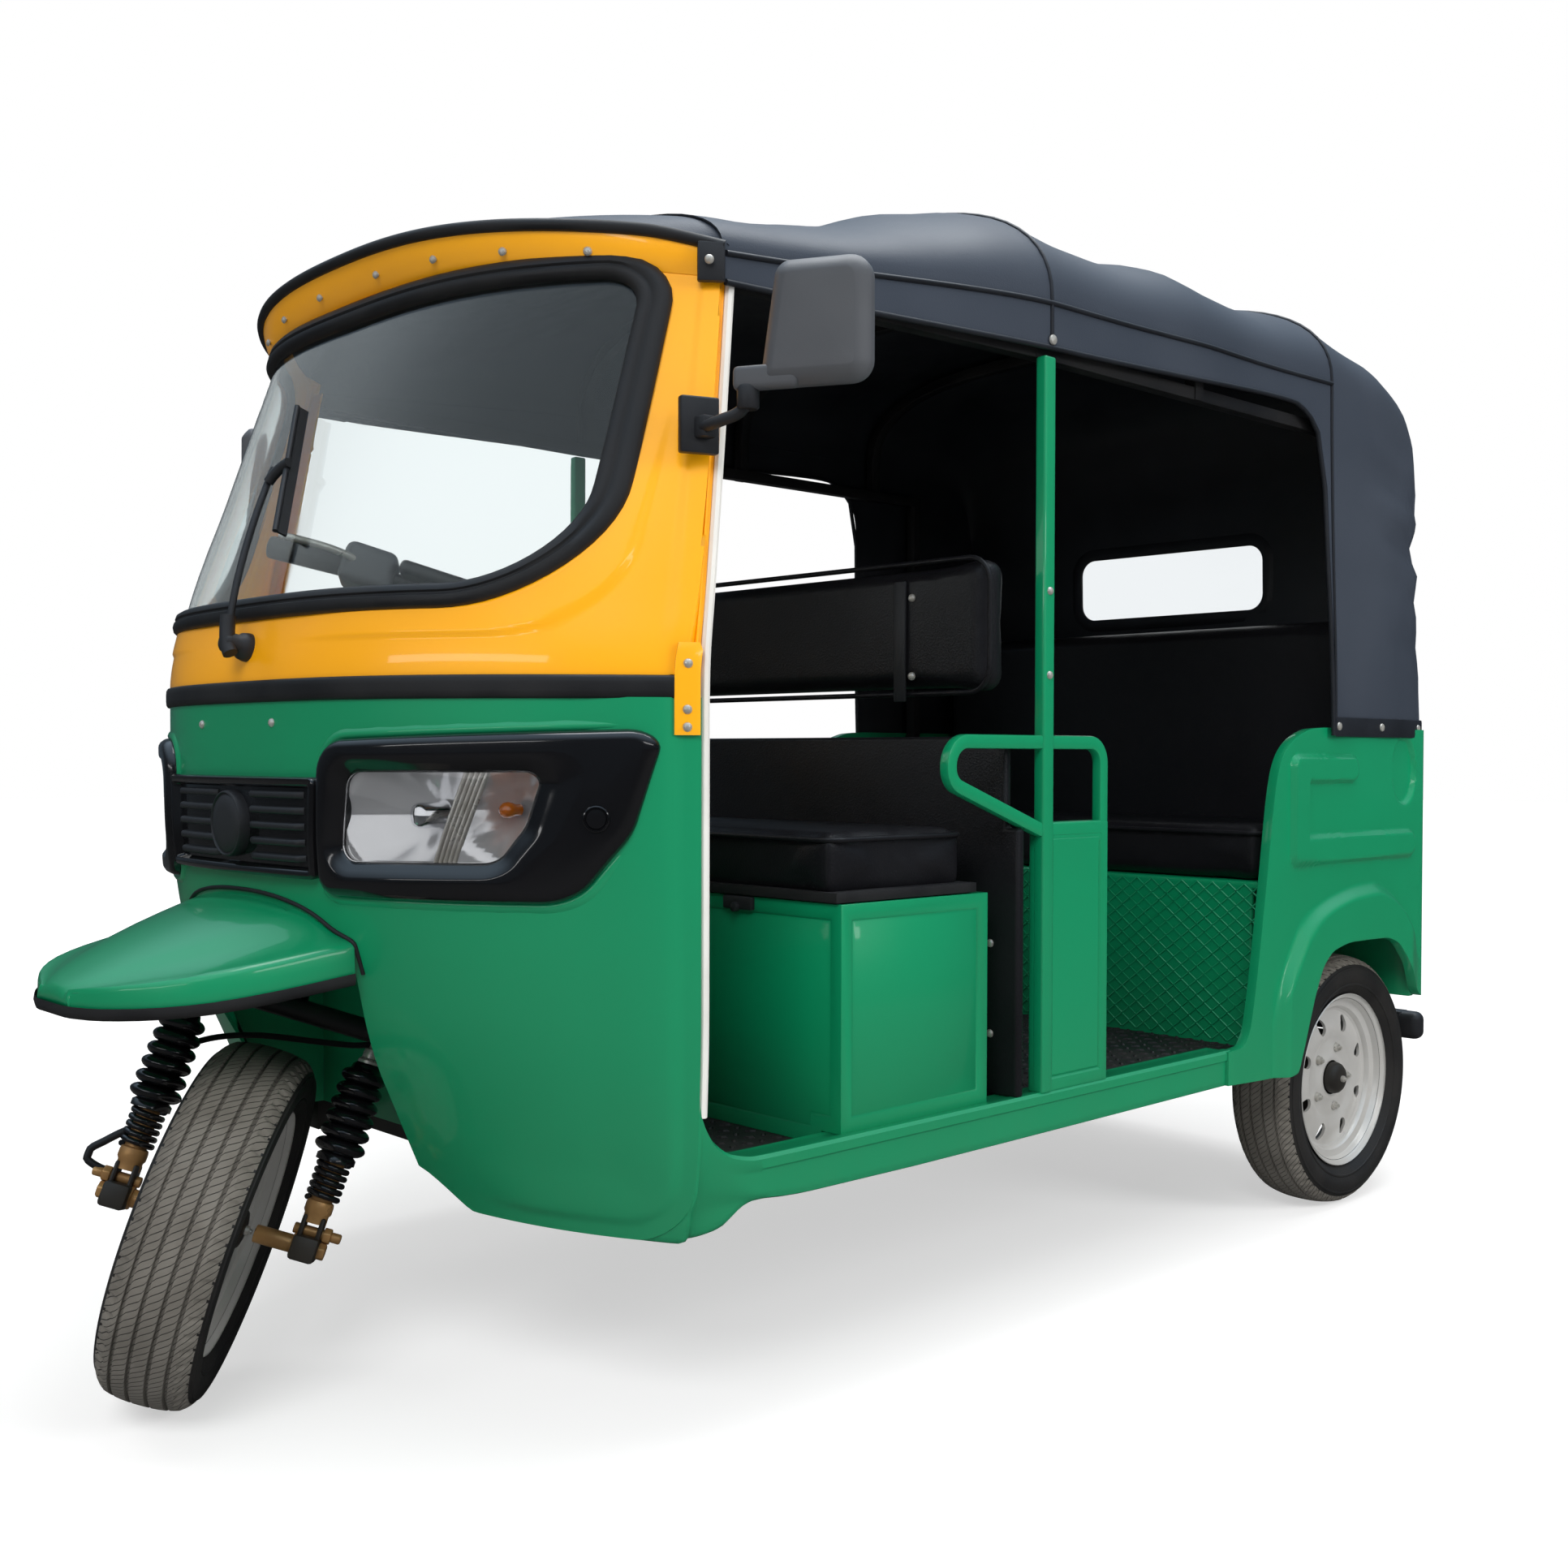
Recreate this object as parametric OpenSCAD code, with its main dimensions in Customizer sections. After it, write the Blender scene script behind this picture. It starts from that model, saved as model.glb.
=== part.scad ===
// Three-wheeled passenger cab with an open-sided body, one steered front wheel and a soft canopy.
// Millimetres. The front points along -Y, the vehicle's left side along +X, and Z is up from the road.

/* [Body] */
// Half of the body's width over its side walls
body_half_w = 620; // [595:1:640]
// Front of the nose on the centre line
nose_y = -1035; // [-1045:1:-1025]
// Rear edge of the nose shell, where the door opening starts
post_y = -712; // [-725:1:-695]
// Rear face of the body
tail_y = 1255; // [1252:1:1268]
// Wall of the nose shells and the quarter panels
wall_t = 18; // [12:1:20]
// Underside of the nose shell
skirt_z = 280; // [270:1:295]
// Top of the lower body at the nose
belt_z = 962; // [950:1:980]
// Height of the dark strip between the two nose shells
strip_h = 26; // [14:1:34]
// How far the windscreen leans back between the strip and the brow
screen_lean = 205; // [180:1:220]

/* [Floor and sills] */
// Top of the floor pan
floor_z = 345; // [338:1:352]
// Thickness of the floor pan
floor_t = 15; // [8:1:20]
// Width of a sill
sill_w = 60; // [50:1:75]
// Height of a sill above the floor
sill_lip = 20; // [12:1:28]
// Front of the rear quarter panel, where a sill ends
quarter_y = 515; // [500:1:525]
// Top of the rear quarter panel
quarter_top_z = 945; // [930:1:960]

/* [Wheels] */
// Distance between the front and rear axles
wheelbase = 2076; // [2060:1:2090]
// Place of the rear axle
rear_axle_y = 1006; // [1000:1:1012]
// Outer diameter of a tyre
tyre_d = 494; // [480:1:502]
// Width of a tyre
tyre_w = 135; // [125:1:138]
// Diameter of the rim over its flanges
rim_d = 335; // [325:1:345]
// Middle of a rear tyre from the centre line
rear_track_half = 530; // [524:1:533]
// Diameter of the wheel spindles
spindle_d = 24; // [18:1:28]

/* [Steering] */
// Lean of the steering axis from the vertical
rake = 22; // [20:1:24]
// Angle that the stored steering is turned to the left
steer_rest = 54; // [0:1:56]
// Distance of a shock absorber from the middle of the wheel
shock_x = 132; // [129:1:138]
// Outer diameter of a shock absorber's bellows
bellows_d = 54; // [44:1:58]
// Diameter of the steering column
column_d = 44; // [34:1:48]
// Half of the handlebar's width
bar_half_w = 255; // [230:1:270]

/* [Seats] */
// Front face of the driver's seat box
box_front_y = -440; // [-460:1:-420]
// Depth of the driver's seat box
box_depth = 314; // [290:1:320]
// Top of the driver's seat box
box_top_z = 684; // [650:1:700]
// Thickness of a seat cushion
cushion_t = 84; // [60:1:95]
// Front face of the passenger bench
bench_y = 690; // [675:1:700]
// Top of the passenger bench under its cushion
bench_top_z = 656; // [630:1:680]

/* [Canopy] */
// Height of the roof at the middle bows
roof_z = 1802; // [1780:1:1820]
// Drop from there to the lower edge of the canopy's valance at the door post
valance_drop = 295; // [282:1:302]
// Thickness of the canopy
canopy_t = 12; // [8:1:15]
// Front edge of the canopy's rear side curtain
curtain_y = 846; // [820:1:870]

/* [Hidden] */
$fn = 64;
// Gap between two pieces that lie against each other
seat_gap = 0.3;
// Radial clearance of a spindle in its hub
run_gap = 0.08;
// Gap around a lid that opens
lid_gap = 5;

// Colours
green = "#12855c";
yellow = "#ffb516";
black = "#1b1c1e";
rubber = "#26262a";
steel = "#b9bcc0";

// Derived places
front_axle_y = rear_axle_y - wheelbase;
wheel_lean = asin(sin(steer_rest) * sin(rake));
rear_axle_z = tyre_d / 2;
spindle_r = spindle_d / 2;
floor_under_z = floor_z - floor_t;
sill_top_z = floor_z + sill_lip;
sill_low_z = floor_z - 33;
sill_in_x = body_half_w - sill_w;
strip_top_z = belt_z + strip_h;
panel_in_x = body_half_w - wall_t;
valance_z = roof_z - valance_drop;

// Points of an outline whose corners [x, y, r] are rounded to radius r
function unit(v) = v / norm(v);
function corner(a, b, c, r, n) =
  let (u = unit([a[0] - b[0], a[1] - b[1]]), w = unit([c[0] - b[0], c[1] - b[1]]),
       half = acos(max(-1, min(1, u * w))) / 2, reach = r / tan(half),
       m = [b[0], b[1]] + unit(u + w) * r / sin(half),
       p = [b[0], b[1]] + u * reach - m, q = [b[0], b[1]] + w * reach - m,
       a0 = atan2(p[1], p[0]), turn = atan2(p[0] * q[1] - p[1] * q[0], p * q))
  [for (i = [0:n]) m + r * [cos(a0 + turn * i / n), sin(a0 + turn * i / n)]];
function rounded(pts, n = 6) =
  [for (i = [0:len(pts) - 1])
    let (a = pts[(i + len(pts) - 1) % len(pts)], b = pts[i], c = pts[(i + 1) % len(pts)])
    each (b[2] > 0 ? corner(a, b, c, b[2], n) : [[b[0], b[1]]])];
function round_box(x0, x1, z0, z1, r) = rounded([[x0, z0, r], [x1, z0, r], [x1, z1, r], [x0, z1, r]]);

// A prism from an outline in Y and Z, between two places across the vehicle
module side_prism(x0, x1, pts) {
  translate([x0, 0, 0]) rotate([90, 0, 90]) linear_extrude(x1 - x0) polygon(pts);
}
// A prism from an outline in X and Z, between two places along the vehicle
module front_prism(y0, y1, pts) {
  translate([0, y1, 0]) rotate([90, 0, 0]) linear_extrude(y1 - y0) polygon(pts);
}
module box(x0, x1, y0, y1, z0, z1) {
  translate([x0, y0, z0]) cube([x1 - x0, y1 - y0, z1 - z0]);
}
module bar_x(x0, x1, y, z, r) {
  translate([x0, y, z]) rotate([0, 90, 0]) cylinder(r = r, h = x1 - x0);
}
module right_side() {
  mirror([1, 0, 0]) children();
}
module both_sides() {
  children();
  right_side() children();
}

// Nose shells. A row gives a level: z, front of the curve, half width, rear edge
nose_steps = 24;
nose_exponent = 3;
lower_levels = [
  [skirt_z, nose_y + 185, body_half_w - 20, post_y],
  [skirt_z + 120, nose_y + 125, body_half_w - 5, post_y],
  [skirt_z + 280, nose_y + 45, body_half_w, post_y],
  [skirt_z + 420, nose_y + 10, body_half_w, post_y],
  [skirt_z + 520, nose_y + 1, body_half_w - 1, post_y],
  [belt_z, nose_y, body_half_w, post_y]
];
surround_h = 602;
surround_top_z = strip_top_z + surround_h;
upper_levels = [
  [strip_top_z, nose_y, body_half_w, post_y],
  [strip_top_z + 110, nose_y + 0.10 * screen_lean, body_half_w - 8, post_y + 16],
  [strip_top_z + 312, nose_y + 0.46 * screen_lean, body_half_w - 28, post_y + 50],
  [surround_top_z, nose_y + screen_lean, body_half_w - 58, post_y + 98]
];
function nose_line(front, half_w, back) =
  [for (i = [0:nose_steps]) let (x = half_w * (2 * i / nose_steps - 1))
    [x, front + (back - front) * pow(abs(x) / half_w, nose_exponent)]];
function nose_plan(level, inset) =
  let (w = level[2] - inset, back = level[3])
  concat(nose_line(level[1] + inset, w, back),
    inset > 0 ? [[w, back + 60 + inset], [-w, back + 60 + inset]] : []);
module nose_slice(level, inset, dz) {
  translate([0, 0, level[0] + dz]) linear_extrude(1) polygon(nose_plan(level, inset));
}
module nose_form(levels, inset, over = 0) {
  last = len(levels) - 1;
  hull() for (i = [0:last]) nose_slice(levels[i], inset, i == 0 ? -over : i == last ? over - 1 : 0);
}

// Wheel well under the nose
well_top_half_w = 250;
well_low_half_w = 205;
well_back_y = -770;
well_top_z = 600;
well_t = 8;
well_outline = [[-well_low_half_w, skirt_z - 60], [well_low_half_w, skirt_z - 60],
  [well_low_half_w, skirt_z + 20],
  [well_top_half_w, well_top_z - 50], [well_top_half_w - 30, well_top_z],
  [-well_top_half_w + 30, well_top_z], [-well_top_half_w, well_top_z - 50], [-well_low_half_w, skirt_z + 20]];

// Headlamp and grille outlines, seen from the front
lamp_in_x = 222;
lamp_outline = [[lamp_in_x, 711, 24], [body_half_w - 112, 709, 46],
  [body_half_w - 28, 918, 18], [lamp_in_x + 4, 905, 44]];
lens_in_x = lamp_in_x + 24;
lens_outline = [[lens_in_x, 748, 14], [body_half_w - 172, 748, 20],
  [body_half_w - 118, 874, 14], [lens_in_x, 864, 14]];
lamp_proud = 8;
lamp_deep = 46;
function grown(pts, g) =
  let (cx = (pts[0][0] + pts[1][0]) / 2, cz = (pts[0][1] + pts[2][1]) / 2)
  [for (p = pts) [p[0] + sign(p[0] - cx) * g, p[1] + sign(p[1] - cz) * g, p[2]]];
grille_half_w = lamp_in_x - 17;
grille_z = [726, 860];
badge_z = 796;
badge_r = 44;

module nose_lower() {
  color(green) difference() {
    nose_form(lower_levels, 0);
    nose_form(lower_levels, wall_t, 4);
    front_prism(nose_y - 50, well_back_y, well_outline);
    both_sides() front_prism(nose_y - 50, post_y + 10, rounded(grown(lamp_outline, seat_gap)));
    front_prism(nose_y - 50, nose_y + 80,
      round_box(-grille_half_w, grille_half_w, grille_z[0], grille_z[1], 30));
  }
}
module headlamps() {
  color(black) both_sides() difference() {
    intersection() {
      nose_form(lower_levels, -lamp_proud);
      front_prism(nose_y - 50, post_y - 2, rounded(lamp_outline));
    }
    nose_form(lower_levels, lamp_deep, 4);
    difference() {
      front_prism(nose_y - 50, post_y, rounded(lens_outline));
      nose_form(lower_levels, lamp_deep - 8, 4);
    }
  }
}
module lamp_lenses() {
  color("white", 0.5) both_sides() intersection() {
    difference() {
      nose_form(lower_levels, -lamp_proud + 3);
      nose_form(lower_levels, 4, 4);
    }
    front_prism(nose_y - 50, post_y, rounded(grown(lens_outline, -seat_gap)));
  }
}
slat_count = 5;
slat_h = 9;
module grille() {
  inner_w = grille_half_w - 16;
  low = grille_z[0] + 16;
  pitch = (grille_z[1] - 16 - low) / slat_count;
  color(black) difference() {
    intersection() {
      nose_form(lower_levels, -5);
      union() {
        difference() {
          front_prism(nose_y - 50, nose_y + 80, round_box(-grille_half_w + seat_gap, grille_half_w - seat_gap,
            grille_z[0] + seat_gap, grille_z[1] - seat_gap, 30));
          box(-inner_w, inner_w, nose_y - 60, nose_y + 90, low, grille_z[1] - 16);
        }
        for (i = [1:slat_count - 1])
          box(-inner_w - 2, inner_w + 2, nose_y - 50, nose_y + 80,
            low + i * pitch - slat_h / 2, low + i * pitch + slat_h / 2);
        translate([0, nose_y + 80, badge_z]) rotate([90, 0, 0]) cylinder(r = badge_r, h = 130);
      }
    }
    nose_form(lower_levels, wall_t, 4);
  }
}

// Windscreen opening, seen from the front
window_half_w = body_half_w - 84;
window_low_z = 1080;
window_top_z = 1540;
window_low_r = 160;
window_top_r = 70;
function window_outline(g) = rounded([
  [-window_half_w - g, window_low_z - g, window_low_r + g],
  [window_half_w + g, window_low_z - g, window_low_r + g],
  [window_half_w - 12 + g, window_top_z + g, window_top_r + g],
  [-window_half_w + 12 - g, window_top_z + g, window_top_r + g]], 8);
module window_prism(g) {
  front_prism(nose_y - 100, post_y + 200, window_outline(g));
}
// Arched line of the brow, seen from the front
brow_end_z = 1544;
brow_rise = 48;
function arch_z(x) = brow_end_z + brow_rise * (1 - pow(abs(x) / body_half_w, 2));
arch_half_w = body_half_w + 100;
function arch_line(dz) = [for (i = [-12:12]) let (x = i * arch_half_w / 12) [x, arch_z(x) + dz]];
module under_arch(dz) {
  front_prism(nose_y - 150, post_y + 300, concat([[arch_half_w, 0], [-arch_half_w, 0]], arch_line(dz)));
}
module nose_upper() {
  color(yellow) difference() {
    intersection() {
      nose_form(upper_levels, 0);
      under_arch(-seat_gap);
    }
    nose_form(upper_levels, wall_t, 4);
    window_prism(0);
  }
}
// The rubber seal holds the glass in the opening and stands a little proud of the shell
seal_proud = 9;
seal_w = 26;
glass_t = 5;
glass_deep = 5;
module glass_slab(gap, g) {
  difference() {
    intersection() {
      nose_form(upper_levels, glass_deep - gap);
      window_prism(g);
    }
    nose_form(upper_levels, glass_deep + glass_t + gap, 4);
  }
}
module windscreen() {
  color("lightsteelblue", 0.4) glass_slab(0, -12);
}
module screen_seal() {
  color(rubber) difference() {
    intersection() {
      nose_form(upper_levels, -seal_proud);
      window_prism(-seat_gap);
    }
    nose_form(upper_levels, wall_t, 4);
    window_prism(-seal_w);
    glass_slab(seat_gap, -12 + seat_gap);
  }
}
module belt_strip() {
  proud = 4;
  color(rubber) difference() {
    translate([0, 0, belt_z + seat_gap]) linear_extrude(strip_h - 2 * seat_gap)
      polygon(nose_line(nose_y - proud, body_half_w + proud, post_y));
    translate([0, 0, belt_z - 1]) linear_extrude(strip_h + 2)
      polygon(nose_plan([belt_z, nose_y, body_half_w, post_y], wall_t));
  }
}

// Brow over the windscreen
brow_reach = 46;
brow_h = 14;
brow_half_w = body_half_w - 46;
brow_front = nose_y + screen_lean - brow_reach;
roof_front_y = post_y + 72;
module brow() {
  color(yellow) intersection() {
    translate([0, 0, brow_end_z - 60]) linear_extrude(200)
      polygon(nose_line(brow_front, brow_half_w, roof_front_y - seat_gap));
    difference() {
      under_arch(brow_h);
      under_arch(0);
    }
  }
}

// Roof sections. A row gives a place along the roof: y, half width, edge height, crown height
roof_rows = [
  [roof_front_y, body_half_w - 44, brow_end_z + 2, brow_end_z + 96],
  [0, body_half_w - 8, roof_z - 206, roof_z - 5],
  [440, body_half_w - 5, roof_z - 198, roof_z],
  [870, body_half_w - 5, roof_z - 196, roof_z - 4],
  [1080, body_half_w - 8, roof_z - 212, roof_z - 48],
  [tail_y - 75, body_half_w - 13, roof_z - 236, roof_z - 90],
  [tail_y - 22, body_half_w - 18, roof_z - 290, roof_z - 150],
  [tail_y - 2, body_half_w - 22, roof_z - 370, roof_z - 250]
];
crown_steps = 18;
function crown(t) = pow(max(0, 1 - pow(abs(t), 3.5)), 0.45);
function roof_arch(row, inset, low) =
  let (w = row[1] - inset, edge = row[2], top = row[3] - inset)
  concat([[-w, low]], [for (i = [0:crown_steps]) let (t = -cos(180 * i / crown_steps))
    [w * t, edge + (top - edge) * crown(t)]], [[w, low]]);
module roof_slice(row, inset, low) {
  front_prism(row[0], row[0] + 1, roof_arch(row, inset, low));
}
module header_form(drop, inset) {
  row = roof_rows[0];
  back = drop > 0 ? 3 : 0;
  hull() {
    intersection() {
      translate([0, 0, brow_end_z - 60]) linear_extrude(200)
        polygon(nose_line(brow_front + inset, brow_half_w - inset, roof_front_y - seat_gap));
      difference() {
        under_arch(brow_h + seat_gap + 3 - drop);
        under_arch(brow_h + seat_gap - drop);
      }
    }
    roof_slice([roof_front_y - 1 - seat_gap + back, row[1] - inset, row[2] + brow_h, row[3] - drop], 0,
      brow_end_z + brow_h - drop);
  }
}
module header_roof() {
  color(black) difference() {
    header_form(0, 0);
    header_form(canopy_t, canopy_t);
    under_arch(brow_h + seat_gap);
  }
}
module canopy_form(inset, ahead) {
  last = len(roof_rows) - 1;
  low = quarter_top_z + (inset > 0 ? -30 : seat_gap);
  hull() for (i = [0:last])
    translate([0, i == 0 ? -ahead : i == last ? -inset : 0, 0]) roof_slice(roof_rows[i], inset, low);
}
// Side opening of the canopy, in Y and Z
opening_outline = rounded([[-900, 800, 0], [curtain_y - 12, 800, 0], [curtain_y + 14, valance_z - 60, 40],
  [curtain_y - 60, valance_z + 46, 110], [0, valance_z + 13, 0], [-900, valance_z - 8, 0]], 8);
rear_window = [255, roof_z - 592, roof_z - 430];
function rear_window_outline(g) =
  round_box(-rear_window[0] - g, rear_window[0] + g, rear_window[1] - g, rear_window[2] + g, 36);
module canopy() {
  color(black) difference() {
    canopy_form(0, 0);
    canopy_form(canopy_t, 30);
    nose_form(upper_levels, -seat_gap);
    side_prism(-body_half_w - 20, body_half_w + 20, opening_outline);
    front_prism(tail_y - 100, tail_y + 60, rear_window_outline(0));
  }
}
bow_rows = [1, 2, 3];
bow_w = 24;
bow_gap = 4;
rail_low_z = valance_z + seat_gap;
module roof_frame() {
  rail_x = body_half_w - 8 - canopy_t - 4;
  color(black) {
    for (i = bow_rows) difference() {
      front_prism(roof_rows[i][0] - bow_w / 2, roof_rows[i][0] + bow_w / 2,
        roof_arch(roof_rows[i], canopy_t + bow_gap, rail_low_z));
      front_prism(roof_rows[i][0] - bow_w, roof_rows[i][0] + bow_w,
        roof_arch(roof_rows[i], canopy_t + bow_gap + 22, rail_low_z - 10));
    }
    both_sides() translate([0, 0, rail_low_z]) linear_extrude(22)
      polygon([[rail_x - 24, 0], [rail_x - 64, post_y + 100], [rail_x - 40, post_y + 100], [rail_x, 0],
        [rail_x, curtain_y + 180], [rail_x - 24, curtain_y + 180]]);
    both_sides()
      box(rail_x - 24, rail_x, curtain_y + 156, curtain_y + 180, quarter_top_z - 120, rail_low_z + 4);
  }
}

// Front fender. A row gives a place along it: y, half width, edge height, crown height
fender_rows = [
  [nose_y + 50, 258, 592, 706],
  [nose_y - 65, 236, 577, 680],
  [nose_y - 155, 206, 563, 638],
  [nose_y - 227, 150, 554, 596],
  [nose_y - 275, 84, 553, 570]
];
fender_t = 10;
function fender_arch(row, inset, drop) =
  let (w = row[1] - inset)
  [for (i = [0:12]) let (t = -cos(15 * i))
    [w * t, row[2] - drop + (row[3] - row[2]) * pow(max(0, 1 - t * t), 0.6)]];
module fender_form(inset, drop) {
  hull() for (i = [0:len(fender_rows) - 1]) {
    row = fender_rows[i];
    front_prism(row[0], row[0] + 1, concat(fender_arch([row[0] + inset, row[1], row[2], row[3]], inset, drop),
      [[row[1] - inset, row[2] - drop - 1], [-row[1] + inset, row[2] - drop - 1]]));
  }
}
module fender() {
  color(green) difference() {
    fender_form(0, 0);
    translate([0, fender_t, 0]) fender_form(fender_t, fender_t);
    nose_form(lower_levels, -seat_gap);
    box(-400, 400, nose_y + 20, nose_y + 200, 400, 800);
  }
}
// Wiper on the surround, and the two mirrors on the door posts
wiper_pivot = [-12, nose_y + 20, strip_top_z + 48];
wiper_tilt = 12;
module wiper() {
  color(black) difference() {
    union() {
      translate(wiper_pivot) rotate([90, 0, 0]) cylinder(r = 13, h = 46);
      translate(wiper_pivot + [0, -44, 0]) rotate([-wiper_tilt, 10, 0]) {
        translate([-6, -3, 0]) cube([12, 9, 180]);
        translate([-7, -4, 90]) cube([14, 12, 300]);
      }
    }
    nose_form(upper_levels, -seat_gap);
    screen_seal_zone();
  }
}
module screen_seal_zone() {
  intersection() {
    nose_form(upper_levels, -seal_proud - seat_gap);
    window_prism(0);
  }
}
mirror_at = [body_half_w + 152, post_y + 76, 1416];
mirror_half = [80, 78];
mirror_arm_z = 1302;
module mirrors() {
  color(black) both_sides() {
    translate(mirror_at) rotate([0, 0, 12])
      front_prism(-14, 14, round_box(-mirror_half[0], mirror_half[0], -mirror_half[1], mirror_half[1], 26));
    translate([mirror_at[0], mirror_at[1], mirror_arm_z - 7]) cylinder(r = 7, h = 60);
    bar_x(body_half_w - 30, mirror_at[0] + 7, mirror_at[1], mirror_arm_z, 7);
    difference() {
      box(body_half_w - 60, body_half_w - 8, mirror_at[1] - 36, mirror_at[1] + 14,
        mirror_arm_z - 30, mirror_arm_z + 30);
      nose_form(upper_levels, -seat_gap);
      box(body_half_w - 80, body_half_w - 28, mirror_at[1] - 60, mirror_at[1] + 60,
        mirror_arm_z - 60, mirror_arm_z + 60);
    }
  }
}

module wheel_well() {
  out_w = well_top_half_w + well_t;
  color(green) difference() {
    intersection() {
      nose_form(lower_levels, wall_t + seat_gap);
      difference() {
        box(-out_w, out_w, nose_y, well_back_y + well_t, floor_under_z, well_top_z + well_t);
        box(-well_top_half_w, well_top_half_w, nose_y - 1, well_back_y, floor_under_z - 1, well_top_z);
      }
    }
    steer_axis() cylinder(r = column_d / 2 + 26, h = 700);
  }
}

// Frame of the steering: the origin is the middle of the front wheel and Z runs up the column
tyre_half = tyre_w / 2;
tyre_r = tyre_d / 2;
rim_r = rim_d / 2;
bead_r = rim_r - 8;
bead_w = tyre_half * 0.72;
tread_line = [[tyre_r - 22, 0.93], [tyre_r - 14, 0.86], [tyre_r - 6, 0.72], [tyre_r - 1.6, 0.36],
  [tyre_r, 0]];
front_axle_z = max([for (p = tread_line) p[0] * cos(wheel_lean) + p[1] * tyre_half * sin(wheel_lean)]);
module steer_axis() {
  translate([0, front_axle_y, front_axle_z]) rotate([-rake, 0, 0]) children();
}
module steered() {
  steer_axis() rotate([0, 0, steer_rest]) children();
}

head_z = [450, 640];
head_r = 36;
column_r = column_d / 2;
module steering_head() {
  base_z = well_top_z + well_t + seat_gap;
  lug_y = front_axle_y + 400 * sin(rake);
  color(steel) difference() {
    union() {
      steer_axis() translate([0, 0, head_z[0]]) cylinder(r = head_r, h = head_z[1] - head_z[0]);
      both_sides() side_prism(28, 42, [[lug_y - 55, base_z], [lug_y + 130, base_z],
        [lug_y + 110, base_z + 210], [lug_y + 40, base_z + 210]]);
    }
    steer_axis() cylinder(r = column_r + run_gap, h = 900);
  }
}
module dashboard() {
  deck_z = belt_z + 4;
  color(black) intersection() {
    translate([0, 0, belt_z - 100]) linear_extrude(200)
      polygon(nose_plan([belt_z, nose_y, body_half_w, post_y], wall_t + seat_gap));
    union() {
      box(-body_half_w + 50, body_half_w - 50, nose_y, nose_y + 165, deck_z, deck_z + 12);
      box(-body_half_w + 50, body_half_w - 50, nose_y + 150, nose_y + 165, deck_z - 36, deck_z + 12);
    }
  }
}

// Fork, in the steering frame
fork_x = tyre_half + 14;
fork_t = 18;
fork_back = 62;
crown_z = 292;
crown_h = 30;
module fork() {
  color(black) steered() difference() {
    union() {
      translate([0, 0, crown_z]) linear_extrude(crown_h) polygon(rounded([[-shock_x - 28, -34, 20],
        [shock_x + 28, -34, 20], [shock_x + 28, 44, 30], [-shock_x - 28, 44, 30]]));
      both_sides() {
        side_prism(fork_x, fork_x + fork_t, rounded([[fork_back - 24, -30, 22], [fork_back + 24, -30, 22],
          [30, crown_z + 6, 0], [-20, crown_z + 6, 0]]));
        side_prism(fork_x, fork_x + fork_t, rounded([[-26, -24, 22], [fork_back + 10, -24, 18],
          [fork_back + 10, 24, 18], [-26, 24, 22]]));
      }
      translate([0, 0, crown_z]) cylinder(r = column_r, h = bar_z - crown_z - 16);
      bar_x(-shock_x - 30, shock_x + 30, 0, 0, spindle_r * 0.8);
    }
  }
}
// Shock absorbers beside the fork legs. A row gives a stretch: start, end, radius
bellows_r = bellows_d / 2;
shock_parts = [[26, 70, 0.62], [70, 250, 1], [250, crown_z - seat_gap, 0.7]];
module shocks() {
  color("#8a6a42") steered() for (s = [-1, 1]) translate([s * shock_x, 0, 0]) difference() {
    union() {
      for (p = shock_parts) translate([0, 0, p[0]]) cylinder(r = bellows_r * p[2], h = p[1] - p[0]);
      translate([-11, -14, -22]) cube([22, 28, 60]);
    }
    bar_x(-40, 40, 0, 0, spindle_r * 0.8 + run_gap);
  }
}
bar_z = 960;
bar_r = 11;
grip_l = 115;
module handlebar() {
  color(black) steered() {
    translate([0, 0, bar_z - 16]) difference() {
      cylinder(r = column_r + 10, h = 32);
      translate([0, 0, -1]) cylinder(r = column_r * 0.6, h = 10);
    }
    bar_x(-bar_half_w, bar_half_w, 0, bar_z, bar_r);
    both_sides() {
      bar_x(bar_half_w - grip_l, bar_half_w, 0, bar_z, bar_r + 6);
      translate([bar_half_w - grip_l - 52, -22, bar_z - 20]) cube([46, 44, 40]);
    }
    translate([-70, -48, bar_z + 14]) cube([140, 80, 62]);
  }
}

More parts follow.
